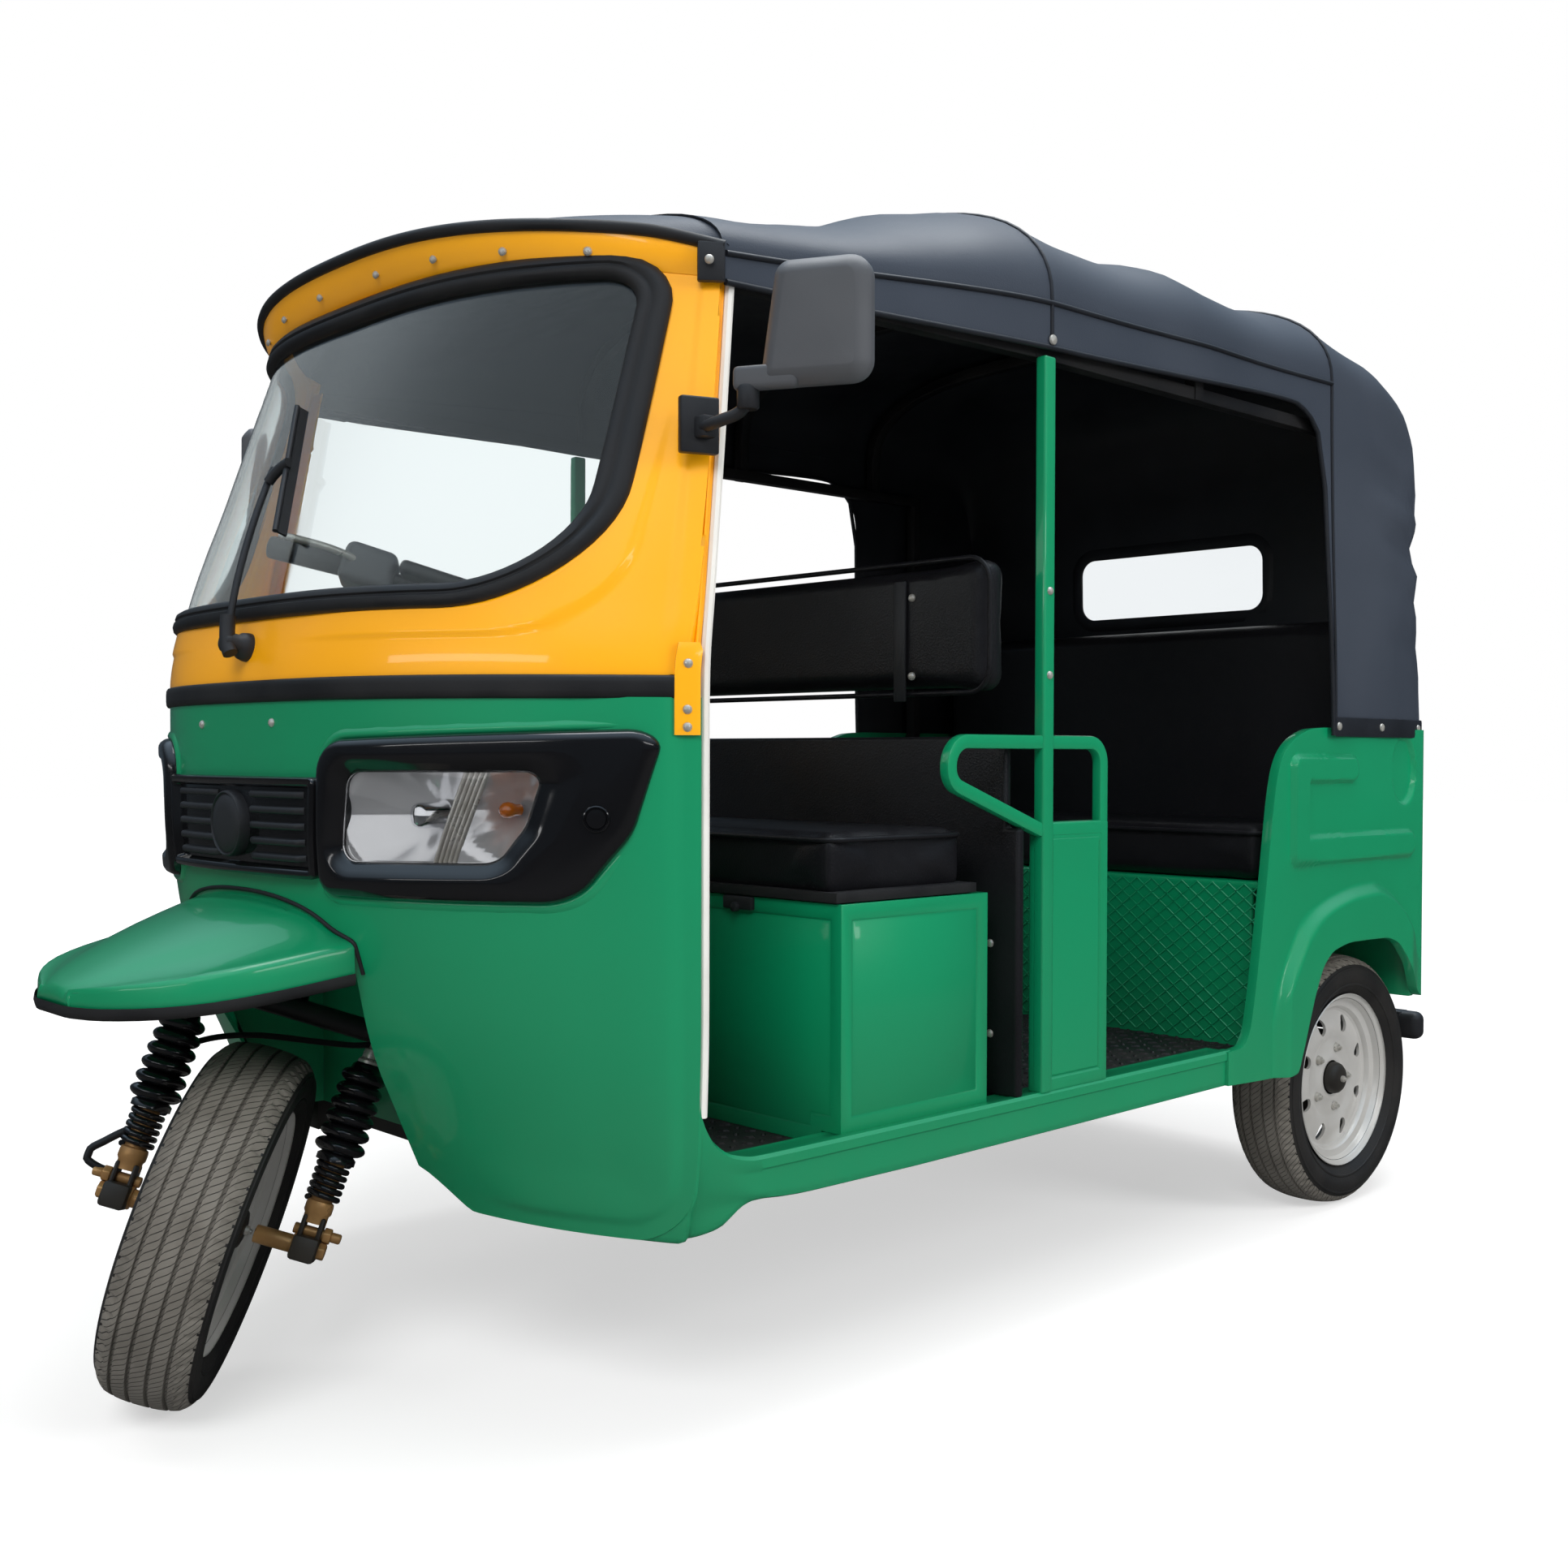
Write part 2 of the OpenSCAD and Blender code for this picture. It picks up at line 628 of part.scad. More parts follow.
// Wheels, turned about X. The outline is half of a section: radius and place across the tyre
module wheel_turn() {
  rotate([0, 90, 0]) rotate_extrude() children();
}
module tyre() {
  right_edge = concat([[bead_r + seat_gap, bead_w - 4], [bead_r + 12, bead_w - 1],
    [bead_r + 30, tyre_half * 0.93], [bead_r + 48, tyre_half]],
    [for (p = tread_line) [p[0], p[1] * tyre_half]]);
  left_edge = [for (i = [len(right_edge) - 2:-1:0]) [right_edge[i][0], -right_edge[i][1]]];
  color(rubber) wheel_turn() polygon(concat(right_edge, left_edge));
}
hub_half = 42;
disc_x = 24;
slot_count = 8;
slot_ring_r = 112;
module rim() {
  lip = bead_w + 5;
  color(steel) difference() {
    union() {
      wheel_turn() polygon([[bead_r - 9, -lip], [rim_r, -lip], [rim_r, -lip + 4], [bead_r, -bead_w + 1],
        [bead_r, bead_w - 3.4], [rim_r - 1, bead_w + 1], [rim_r, lip], [bead_r - 9, lip]]);
      wheel_turn() polygon([[50, disc_x - 14], [86, disc_x + 8], [bead_r - 5, disc_x - 8],
        [bead_r - 5, disc_x - 18], [86, disc_x - 2], [50, disc_x - 24]]);
      bar_x(-hub_half, hub_half, 0, 0, 52);
    }
    bar_x(-100, 100, 0, 0, spindle_r + run_gap);
    for (i = [0:slot_count - 1]) rotate([i * 360 / slot_count, 0, 0]) translate([0, 0, slot_ring_r])
      bar_x(-60, 60, 0, 0, 15);
  }
}
module front_tyre() {
  steered() tyre();
}
module front_rim() {
  color(steel) steered() difference() {
    union() {
      rim();
      bar_x(-30, 30, 0, 0, spindle_r + 2);
    }
    bar_x(-100, 100, 0, 0, spindle_r * 0.8 + run_gap);
  }
}
module rear_tyre_left() {
  translate([rear_track_half, rear_axle_y, rear_axle_z]) tyre();
}
module rear_rim_left() {
  translate([rear_track_half, rear_axle_y, rear_axle_z]) rim();
}
module rear_tyre_right() {
  right_side() rear_tyre_left();
}
module rear_rim_right() {
  right_side() rear_rim_left();
}

// Chassis rails, floor and sills
rail_x = [rear_track_half - 238, rear_track_half - 196];
rail_h = 56;
cross_rows = [-690, -60, 480, 730, tail_y - 34];
cross_w = 34;
tow_r = 9;
tie_r = 8;
tie_y = -630;
rail_low = floor_under_z - seat_gap - rail_h;
bumper_y = [tail_y + 18, tail_y + 55];
module chassis() {
  color(black) difference() {
    union() {
      both_sides()
        box(rail_x[0], rail_x[1], well_back_y + 12, tail_y + 18 - seat_gap, rail_low, rail_low + rail_h);
      for (y = cross_rows) box(-rail_x[0] - 2, rail_x[0] + 2, y, y + cross_w, rail_low, rail_low + rail_h);
      translate([0, tail_y, rail_low]) linear_extrude(12) difference() {
        polygon(rounded([[-40, -10, 0], [40, -10, 0], [26, 48, 22], [-26, 48, 22]]));
        translate([0, 24]) circle(r = tow_r);
      }
    }
    both_sides() bar_x(rail_x[0] - 20, rail_x[1] + 20, tie_y, rail_low + 20, tie_r);
  }
}
module floor_pan() {
  color("#3a3c3e") difference() {
    box(-sill_in_x + seat_gap, sill_in_x - seat_gap, nose_y + 75, bench_y - seat_gap, floor_under_z, floor_z);
    box(-well_top_half_w - well_t - seat_gap, well_top_half_w + well_t + seat_gap, nose_y + 35,
      well_back_y + well_t + seat_gap, 0, floor_z + 10);
    difference() {
      box(-body_half_w, body_half_w, nose_y - 165, post_y, floor_under_z - 5, floor_z + 5);
      nose_form(lower_levels, wall_t + seat_gap);
    }
  }
}
module sills() {
  color(green) both_sides() side_prism(sill_in_x, body_half_w - 3, rounded([
    [post_y + seat_gap, sill_low_z, 0], [quarter_y - seat_gap, sill_low_z, 0],
    [quarter_y - seat_gap, sill_top_z, 0],
    [post_y + 70, sill_top_z, 60], [post_y + seat_gap, sill_top_z + 55, 0]]));
}

// Middle pillars with the grab frames and the panels behind them
pillar_y = [-55, 5];
pillar_x = [body_half_w - 32, body_half_w - 3];
pillar_top_z = valance_z;
module pillars() {
  color(green) both_sides() {
    box(pillar_x[0], pillar_x[1], pillar_y[0], pillar_y[1], sill_top_z + seat_gap, pillar_top_z);
    box(pillar_x[0] - 2, pillar_x[1] - 3, pillar_y[1] - 1, pillar_y[1] + 152,
      sill_top_z + seat_gap, grab_z[0]);
  }
}
grab_z = [787, 925];
grab_x = [body_half_w - 28, body_half_w - 6];
grab_w = 24;
module grab_frames() {
  front = pillar_y[0] - seat_gap;
  back = pillar_y[1] + seat_gap;
  low = grab_z[0] + seat_gap;
  color(green) both_sides() difference() {
    union() {
      side_prism(grab_x[0], grab_x[1], rounded([[front, grab_z[1], 0], [front - 186, grab_z[1], 22],
        [front - 150, low + 90, 22], [front, low, 0]]));
      side_prism(grab_x[0], grab_x[1], rounded([[back, low, 0], [back + 152, low, 26],
        [back + 152, grab_z[1], 26], [back, grab_z[1], 0]]));
    }
    side_prism(grab_x[0] - 5, grab_x[1] + 5, rounded([[front + 5, grab_z[1] - grab_w, 0],
      [front - 140, grab_z[1] - grab_w, 5], [front - 128, low + 104, 5], [front + 5, low + grab_w + 2, 0]]));
    side_prism(grab_x[0] - 5, grab_x[1] + 5, rounded([[back - 5, low + grab_w, 0],
      [back + 152 - grab_w, low + grab_w, 8],
      [back + 152 - grab_w, grab_z[1] - grab_w, 8], [back - 5, grab_z[1] - grab_w, 0]]));
  }
}

// Driver's seat
box_back_y = box_front_y + box_depth;
lid_t = 14;
lid_low_z = box_top_z + 2;
hinge_r = 8;
hinge_pin_r = 4;
lid_hinge = [box_back_y - 8, lid_low_z + 6];
hinge_x = [-320, 320];
module hinge_lugs(at, half) {
  for (x = hinge_x) {
    bar_x(x - half - 18, x - half, at[0], at[1], hinge_r);
    bar_x(x + half, x + half + 18, at[0], at[1], hinge_r);
    bar_x(x - half - 10, x + half + 10, at[0], at[1], hinge_pin_r);
  }
}
module hinge_barrels(at, half) {
  for (x = hinge_x) bar_x(x - half + 1, x + half - 1, at[0], at[1], hinge_r);
}
module hinge_bores(at, half) {
  for (x = hinge_x) bar_x(x - half - 1, x + half + 1, at[0], at[1], hinge_pin_r + run_gap);
}
module driver_box() {
  side = body_half_w - 22;
  low = sill_top_z + seat_gap;
  color(green) {
    difference() {
      box(-side, side, box_front_y, box_back_y, low, box_top_z);
      box(-side + 14, side - 14, box_front_y + 14, box_back_y - 30, low - 1, box_top_z + 1);
    }
    difference() {
      box(-sill_in_x + 1, sill_in_x - 1, box_front_y, box_back_y, floor_z + seat_gap, low + 2);
      box(-sill_in_x + 15, sill_in_x - 15, box_front_y + 14, box_back_y - 14, floor_z, low + 10);
    }
    hinge_lugs(lid_hinge, 24);
    for (x = hinge_x, s = [-1, 1])
      box(x + s * 33 - 9, x + s * 33 + 9, lid_hinge[0] - 4, lid_hinge[0] + 8, box_top_z - 2, lid_hinge[1]);
  }
}
module driver_lid() {
  side = body_half_w - 26;
  back = lid_hinge[0] - hinge_r - 6;
  color(black) difference() {
    union() {
      box(-side, side, box_front_y - 6, back, lid_low_z, lid_low_z + lid_t);
      for (x = hinge_x) box(x - 22, x + 22, back - 2, lid_hinge[0], lid_low_z + 1, lid_low_z + 11);
      hinge_barrels(lid_hinge, 24);
    }
    hinge_bores(lid_hinge, 24);
  }
}
module driver_cushion() {
  side = grab_x[0] - lid_gap - 1;
  low = lid_low_z + lid_t + seat_gap;
  color(black) side_prism(-side, side, rounded([[box_front_y - 10, low, 10], [box_back_y - 24, low, 10],
    [box_back_y - 24, low + cushion_t, 26], [box_front_y - 10, low + cushion_t, 36]]));
}
backrest_z = [980, 1200];
backrest_t = 66;
partition_top_z = 920;
module driver_backrest() {
  face = pillar_y[0] - seat_gap;
  color(black) side_prism(-body_half_w + 24, body_half_w - 24, rounded([[face, backrest_z[0], 0],
    [face, backrest_z[1], 0], [face - backrest_t + 4, backrest_z[1], 24],
    [face - backrest_t, backrest_z[0], 24]]));
}
module partition() {
  side = pillar_x[0] - 1;
  face = pillar_y[0] - wall_t;
  back = pillar_y[0] - seat_gap;
  color(black) {
    box(-side, side, face, back, sill_top_z + seat_gap, partition_top_z);
    box(-sill_in_x + 1, sill_in_x - 1, face, back, floor_z + seat_gap, sill_top_z + 2);
    both_sides() box(side - 2, pillar_x[1] - 4, face, back, sill_top_z + seat_gap, grab_z[0] - 8);
  }
}

// Passenger bench over the engine
module bench_base() {
  color(green) {
    box(-sill_in_x + 1, sill_in_x - 1, bench_y, bench_y + 14, floor_under_z, bench_top_z);
    box(-panel_in_x + seat_gap, panel_in_x - seat_gap, bench_y, tail_y - wall_t - seat_gap,
      bench_top_z - 14, bench_top_z);
  }
}
bench_back_low_y = 1118;
bench_back_top_z = 1190;
module bench_cushion() {
  low = bench_top_z + seat_gap;
  color(black) side_prism(-panel_in_x + 22, panel_in_x - 22, rounded([[bench_y - 8, low, 10],
    [bench_back_low_y, low, 0],
    [bench_back_low_y, low + cushion_t + 20, 0], [bench_y - 8, low + cushion_t + 20, 40]]));
}
module bench_backrest() {
  low = bench_top_z + seat_gap;
  color(black) side_prism(-panel_in_x + 22, panel_in_x - 22, rounded([[bench_back_low_y + seat_gap, low, 0],
    [tail_y - wall_t - seat_gap, low, 0], [tail_y - wall_t - seat_gap, bench_back_top_z, 14],
    [tail_y - 78, bench_back_top_z, 30]]));
}

// Rear quarter panels
quarter_outline = rounded([[quarter_y, sill_low_z, 0], [728, 299, 8], [776, 410, 30], [820, 512, 50],
  [900, 520, 0], [1100, 520, 60], [1160, 470, 40], [tail_y, 392, 0],
  [tail_y, quarter_top_z, 0], [690, quarter_top_z, 60],
  [quarter_y, sill_top_z, 0]]);
flare_outline = rounded([[700, 303, 0], [728, 299, 8], [776, 410, 30], [820, 512, 50], [900, 520, 0],
  [1100, 520, 60],
  [1160, 470, 40], [tail_y - 2, 392, 0], [tail_y - 2, 446, 0], [1180, 540, 60],
  [1110, 606, 60], [850, 606, 80],
  [740, 470, 80]]);
flare_reach = 20;
module quarter_left() {
  color(green) {
    side_prism(panel_in_x, body_half_w, quarter_outline);
    side_prism(body_half_w - 1, body_half_w + flare_reach, flare_outline);
  }
}
module quarter_right() {
  right_side() quarter_left();
}
hatch_half_w = 372;
hatch_z = [474, 872];
hatch_hinge = [tail_y + hinge_r + 1, hatch_z[1] + 4];
module rear_panel() {
  color(green) {
    difference() {
      box(-panel_in_x + seat_gap, panel_in_x - seat_gap, tail_y - wall_t, tail_y, 392, quarter_top_z);
      box(-hatch_half_w - lid_gap, hatch_half_w + lid_gap, tail_y - 40, tail_y + 10,
        hatch_z[0] - lid_gap, hatch_z[1] + lid_gap);
    }
    hinge_lugs(hatch_hinge, 24);
    for (x = hinge_x, s = [-1, 1])
      box(x + s * 33 - 9, x + s * 33 + 9, tail_y - 1, hatch_hinge[0], hatch_z[1] + lid_gap, hatch_z[1] + 24);
    both_sides() box(rail_x[0], rail_x[1], tail_y - wall_t, tail_y, rail_low + rail_h + seat_gap, 394);
  }
}
module engine_hatch() {
  color(green) difference() {
    union() {
      box(-hatch_half_w, hatch_half_w, tail_y - wall_t, tail_y, hatch_z[0], hatch_z[1]);
      hinge_barrels(hatch_hinge, 24);
      for (x = hinge_x)
        box(x - 22, x + 22, tail_y - 1, hatch_hinge[0] + 3, hatch_z[1] - 30, hatch_hinge[1] - 2);
      for (i = [0:4]) box(-250, 250, tail_y - 1, tail_y + 10, 560 + i * 44, 572 + i * 44);
    }
    hinge_bores(hatch_hinge, 24);
  }
}
tail_lamp_x = [body_half_w - 172, body_half_w - 50];
tail_lamp_z = [742, 884];
module tail_lamps() {
  color("darkred") both_sides()
    box(tail_lamp_x[0], tail_lamp_x[1], tail_y + seat_gap, tail_y + 22, tail_lamp_z[0], tail_lamp_z[1]);
}
bumper_half_w = body_half_w - 54;
bumper_z = [296, 352];
module rear_bumper() {
  color(black) {
    box(-bumper_half_w, bumper_half_w, bumper_y[0], bumper_y[1], bumper_z[0], bumper_z[1]);
    both_sides()
      box(rail_x[0] + 2, rail_x[1] - 2, bumper_y[0], bumper_y[0] + 20, rail_low + 2, bumper_z[0] + 4);
  }
}

// Engine and rear arms
engine_box = [190, 764 + seat_gap, 1140, 236, 566];
module engine() {
  color(steel) {
    box(-engine_box[0], engine_box[0], engine_box[1], engine_box[2], engine_box[3], engine_box[4]);
    both_sides() bar_x(engine_box[0] - 1, arm_x[0] - seat_gap, rear_axle_y, rear_axle_z, 15);
  }
}
arm_x = [rear_track_half - 134, rear_track_half - 98];
arm_pivot_y = 500;
module rear_suspension() {
  color(black) both_sides() {
    side_prism(arm_x[0], arm_x[1], rounded([[arm_pivot_y, rail_low + 4, 0],
      [arm_pivot_y + 60, rail_low - 4, 0],
      [rear_axle_y + 40, rear_axle_z - 36, 34], [rear_axle_y + 40, rear_axle_z + 36, 34],
      [arm_pivot_y + 60, rail_low + rail_h - 2, 0], [arm_pivot_y, rail_low + rail_h - 2, 0]]));
    box(rail_x[1] + seat_gap, arm_x[0] + 2, arm_pivot_y - 14, arm_pivot_y + 20,
      rail_low + 6, rail_low + rail_h - 4);
    bar_x(arm_x[1] - 2, rear_track_half + hub_half - 4, rear_axle_y, rear_axle_z, spindle_r);
    bar_x(arm_x[1] - 2, rear_track_half - hub_half - 6, rear_axle_y, rear_axle_z, 30);
  }
}

nose_lower();
nose_upper();
belt_strip();
windscreen();
screen_seal();
brow();
header_roof();
headlamps();
lamp_lenses();
grille();
fender();
wiper();
mirrors();
wheel_well();
steering_head();
dashboard();
chassis();
floor_pan();
sills();
pillars();
grab_frames();
driver_box();
driver_lid();
driver_cushion();
driver_backrest();
partition();
bench_base();
bench_cushion();
bench_backrest();
quarter_left();
quarter_right();
rear_panel();
engine_hatch();
tail_lamps();
rear_bumper();
engine();
rear_suspension();
roof_frame();
canopy();
fork();
shocks();
handlebar();
front_tyre();
front_rim();
rear_tyre_left();
rear_rim_left();
rear_tyre_right();
rear_rim_right();
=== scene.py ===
import bpy
import math
from mathutils import Matrix, Vector


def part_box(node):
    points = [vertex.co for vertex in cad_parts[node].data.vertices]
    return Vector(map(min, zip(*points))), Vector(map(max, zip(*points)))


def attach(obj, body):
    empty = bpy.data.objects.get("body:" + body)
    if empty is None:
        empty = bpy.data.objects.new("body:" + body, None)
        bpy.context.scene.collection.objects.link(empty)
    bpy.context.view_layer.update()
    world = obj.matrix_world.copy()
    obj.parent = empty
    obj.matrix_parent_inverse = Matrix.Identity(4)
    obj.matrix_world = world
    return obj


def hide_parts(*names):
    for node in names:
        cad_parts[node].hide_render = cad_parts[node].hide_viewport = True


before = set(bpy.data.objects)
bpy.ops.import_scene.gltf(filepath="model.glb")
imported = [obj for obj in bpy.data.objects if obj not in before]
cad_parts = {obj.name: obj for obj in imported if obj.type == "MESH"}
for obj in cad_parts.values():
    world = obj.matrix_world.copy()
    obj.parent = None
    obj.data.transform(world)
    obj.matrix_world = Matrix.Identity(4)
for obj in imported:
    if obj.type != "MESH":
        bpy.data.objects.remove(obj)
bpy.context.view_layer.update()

# Passenger tricycle: metres, front along -Y, the vehicle's left along +X


# ways of working

def deselect():
    bpy.ops.object.select_all(action="DESELECT")


def pick(obj):
    deselect()
    obj.select_set(True)
    bpy.context.view_layer.objects.active = obj


def linked(name, data):
    obj = bpy.data.objects.new(name, data)
    bpy.context.scene.collection.objects.link(obj)
    return obj


def facing(direction):  # a turn that brings Z round to a direction
    return Vector(direction).to_track_quat("Z", "Y").to_matrix().to_4x4()


def applyModifier(obj, kind, **settings):
    pick(obj)
    modifier = obj.modifiers.new(kind, kind)
    for key, value in settings.items():
        setattr(modifier, key, value)
    bpy.ops.object.modifier_apply(modifier=modifier.name)


def bevel(obj, width, segments=2, angle=30):
    applyModifier(obj, "BEVEL", width=width, segments=segments, limit_method="ANGLE",
                  angle_limit=math.radians(angle))


def thicken(obj, thickness, offset=-1):
    applyModifier(obj, "SOLIDIFY", thickness=thickness, offset=offset)


def editAll(obj):  # into edit mode with the whole mesh selected
    pick(obj)
    bpy.ops.object.mode_set(mode="EDIT")
    bpy.ops.mesh.select_all(action="SELECT")


def mend(obj, gap=0.0002):  # merge doubles and turn the faces outwards
    editAll(obj)
    bpy.ops.mesh.remove_doubles(threshold=gap)
    bpy.ops.mesh.normals_make_consistent(inside=False)
    bpy.ops.object.mode_set(mode="OBJECT")


def faceAway(obj, centre):  # an open sheet's faces point away from a place inside the cab
    total = sum((face.center - Vector(centre)).dot(face.normal) * face.area for face in obj.data.polygons)
    if total < 0:
        editAll(obj)
        bpy.ops.mesh.flip_normals()
        bpy.ops.object.mode_set(mode="OBJECT")


def startGrid(name, across, along, rule):  # a flat grid whose points a rule moves into place
    deselect()
    bpy.ops.mesh.primitive_grid_add(x_subdivisions=across, y_subdivisions=along, size=2)
    obj = bpy.context.object
    obj.name = name
    for vert in obj.data.vertices:
        vert.co = rule(vert.co.x, vert.co.y)
    return obj


def skin(name, across, along, rule, centre, wall=0.0, gap=0.0):  # a grid that faces away from a place
    obj = startGrid(name, across, along, rule)
    if gap:
        mend(obj, gap)
    faceAway(obj, centre)
    if wall:
        thicken(obj, wall)
    return obj


def selectFaces(obj, test):  # leaves the object in edit mode, with the faces that pass the test selected
    pick(obj)
    bpy.ops.object.mode_set(mode="EDIT")
    bpy.ops.mesh.select_mode(type="FACE")
    bpy.ops.mesh.select_all(action="DESELECT")
    bpy.ops.object.mode_set(mode="OBJECT")
    for face in obj.data.polygons:
        face.select = test(face)
    bpy.ops.object.mode_set(mode="EDIT")


def dropFaces(obj, test):  # delete the faces whose middle passes the test
    selectFaces(obj, lambda face: test(face.center))
    bpy.ops.mesh.delete(type="FACE")
    bpy.ops.object.mode_set(mode="OBJECT")


def roundBox(name, low, high, edge=0.004, segments=2):
    deselect()
    low, high = Vector(low), Vector(high)
    bpy.ops.mesh.primitive_cube_add(size=1, location=(low + high) / 2, scale=high - low)
    obj = bpy.context.object
    obj.name = name
    bpy.ops.object.transform_apply(location=True, rotation=True, scale=True)
    bevel(obj, edge, segments)
    return obj


def rod(name, start, end, radius, edge=0.0, sides=24):
    deselect()
    start, end = Vector(start), Vector(end)
    bpy.ops.mesh.primitive_cylinder_add(vertices=sides, radius=radius, depth=(end - start).length)
    obj = bpy.context.object
    obj.name = name
    obj.data.transform(Matrix.Translation((start + end) / 2) @ facing(end - start))
    if edge:
        bevel(obj, edge, 2, 50)
    return obj


def turned(name, profile, place, steps=48):  # profile rows are radius and distance along the axis
    last = len(profile) - 1

    def rule(u, v):
        angle = math.pi * (u + 1)
        radius, along = profile[stepOf(v, last)]
        return place @ Vector((radius * math.cos(angle), radius * math.sin(angle), along))

    obj = startGrid(name, steps, last, rule)
    mend(obj, 0.00002)
    return obj


def curveOf(name, points, radius, resolution=3, closed=False, smoothPath=False):
    data = bpy.data.curves.new(name, "CURVE")
    data.dimensions = "3D"
    spline = data.splines.new("NURBS" if smoothPath else "POLY")
    spline.points.add(len(points) - 1)
    for point, place in zip(spline.points, points):
        point.co = (*place, 1)
    spline.use_cyclic_u = closed
    if smoothPath:
        spline.order_u = 4
        spline.use_endpoint_u = not closed
        spline.resolution_u = 6
    data.bevel_depth = radius
    data.bevel_resolution = resolution
    data.use_fill_caps = True
    return linked(name, data)


def tube(name, points, radius, closed=False, resolution=3, smoothPath=True):
    pick(curveOf(name, points, radius, resolution, closed, smoothPath))
    bpy.ops.object.convert(target="MESH")
    return bpy.context.object


def joined(name, objs):
    deselect()
    for obj in objs:
        obj.select_set(True)
    bpy.context.view_layer.objects.active = objs[0]
    bpy.ops.object.join()
    objs[0].name = name
    return objs[0]


def copies(name, model, places):  # one copy with its own mesh for each place, joined
    made = []
    for place in places:
        made.append(linked(model.name, model.data.copy()))
        made[-1].data.transform(place)
    bpy.data.objects.remove(model)
    return joined(name, made)


def nodeCopy(name, node, edge=0.004, segments=2):  # a solid's own shape with its edges rounded
    obj = linked(name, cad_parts[node].data.copy())
    editAll(obj)
    bpy.ops.mesh.remove_doubles(threshold=0.00002)
    bpy.ops.mesh.dissolve_limited(angle_limit=math.radians(1))
    bpy.ops.object.mode_set(mode="OBJECT")
    if edge:
        bevel(obj, edge, segments, 40)
    return obj


def finishAll(parts, looks):  # parts are lists by the piece's name
    for name, row in looks.items():
        finishPiece(joined(name, parts[name]), *row)


def finishPiece(obj, finishName, slotName, nodes=(), angle=35, body="body"):
    pick(obj)
    bpy.ops.object.shade_smooth_by_angle(angle=math.radians(angle))
    obj.data.materials.clear()
    obj.data.materials.append(finish[finishName])
    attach(obj, body)
    if nodes:
        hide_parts(*nodes)
    return obj


def ease(low, high, value):  # 0 below low, 1 above high, smooth between
    share = max(0.0, min(1.0, (value - low) / (high - low)))
    return share * share * (3 - 2 * share)


def mix(a, b, share):
    return a + (b - a) * share


def stepOf(place, last):  # which row or column of a grid lies at -1 to 1
    return round((place + 1) / 2 * last)


def along(rows, at):  # smooth values between rows, read by their first number
    if at <= rows[0][0]:
        return list(rows[0][1:])
    if at >= rows[-1][0]:
        return list(rows[-1][1:])
    i = max(k for k in range(len(rows) - 1) if rows[k][0] <= at)
    step = rows[i + 1][0] - rows[i][0]
    t = (at - rows[i][0]) / step
    values = []
    for c in range(1, len(rows[0])):
        def slope(k):
            if k <= 0 or k >= len(rows) - 1:
                k = min(max(k, 0), len(rows) - 2)
                return (rows[k + 1][c] - rows[k][c]) / (rows[k + 1][0] - rows[k][0])
            before = (rows[k][c] - rows[k - 1][c]) / (rows[k][0] - rows[k - 1][0])
            after = (rows[k + 1][c] - rows[k][c]) / (rows[k + 1][0] - rows[k][0])
            return 0 if before * after <= 0 else 2 * before * after / (before + after)
        a, b = rows[i][c], rows[i + 1][c]
        h = t * t * (3 - 2 * t)
        values.append(a + (b - a) * h + step * (t * (1 - t) ** 2 * slope(i) - t * t * (1 - t) * slope(i + 1)))
    return values


def cornerArcs(corners, steps):  # corners are x, z, radius, and each gives the points of its arc
    arcs = []
    for i, (x, z, radius) in enumerate(corners):
        here = Vector((x, z))
        u = (Vector(corners[i - 1][:2]) - here).normalized()
        w = (Vector(corners[(i + 1) % len(corners)][:2]) - here).normalized()
        half = u.angle(w) / 2
        middle = here + (u + w).normalized() * radius / math.sin(half)
        p = here + u * radius / math.tan(half) - middle
        q = here + w * radius / math.tan(half) - middle
        first, turn = math.atan2(p.y, p.x), math.atan2(p.x * q.y - p.y * q.x, p.dot(q))
        angles = [first + turn * k / steps for k in range(steps + 1)]
        arcs.append([middle + radius * Vector((math.cos(angle), math.sin(angle))) for angle in angles])
    return arcs


def roundedLine(corners, count):  # evenly spaced points of an outline with round corners
    dense = [point for arc in cornerArcs(corners, 16) for point in arc]
    reach = [0.0]
    for a, b in zip(dense, dense[1:] + dense[:1]):
        reach.append(reach[-1] + (b - a).length)
    points = []
    k = 0
    for i in range(count):
        target = reach[-1] * i / count
        while reach[k + 1] < target:
            k += 1
        a, b = dense[k], dense[(k + 1) % len(dense)]
        points.append(a.lerp(b, (target - reach[k]) / max(reach[k + 1] - reach[k], 1e-9)))
    return points


def windingSign(points):  # 1 where a closed outline runs counterclockwise, else -1
    area = sum(a.x * b.y - b.x * a.y for a, b in zip(points, points[1:] + points[:1]))
    return 1 if area > 0 else -1


def outwards(points):  # unit directions out of a closed outline
    sign, count = windingSign(points), len(points)
    runs = [(points[(i + 1) % count] - points[i - 1]).normalized() for i in range(count)]
    return [Vector((run.y, -run.x)) * sign for run in runs]


def cornersGrown(corners, grow):  # move every side of an outline out by a distance
    points = [Vector(c[:2]) for c in corners]
    sign = windingSign(points)
    result = []
    for i, here in enumerate(points):
        into = (here - points[i - 1]).normalized()
        onward = (points[(i + 1) % len(points)] - here).normalized()
        a, b = Vector((into.y, -into.x)) * sign, Vector((onward.y, -onward.x)) * sign
        moved = here + (a + b) * grow / (1 + a.dot(b))
        result.append((moved.x, moved.y, max(corners[i][2] + grow, 0.003)))
    return result


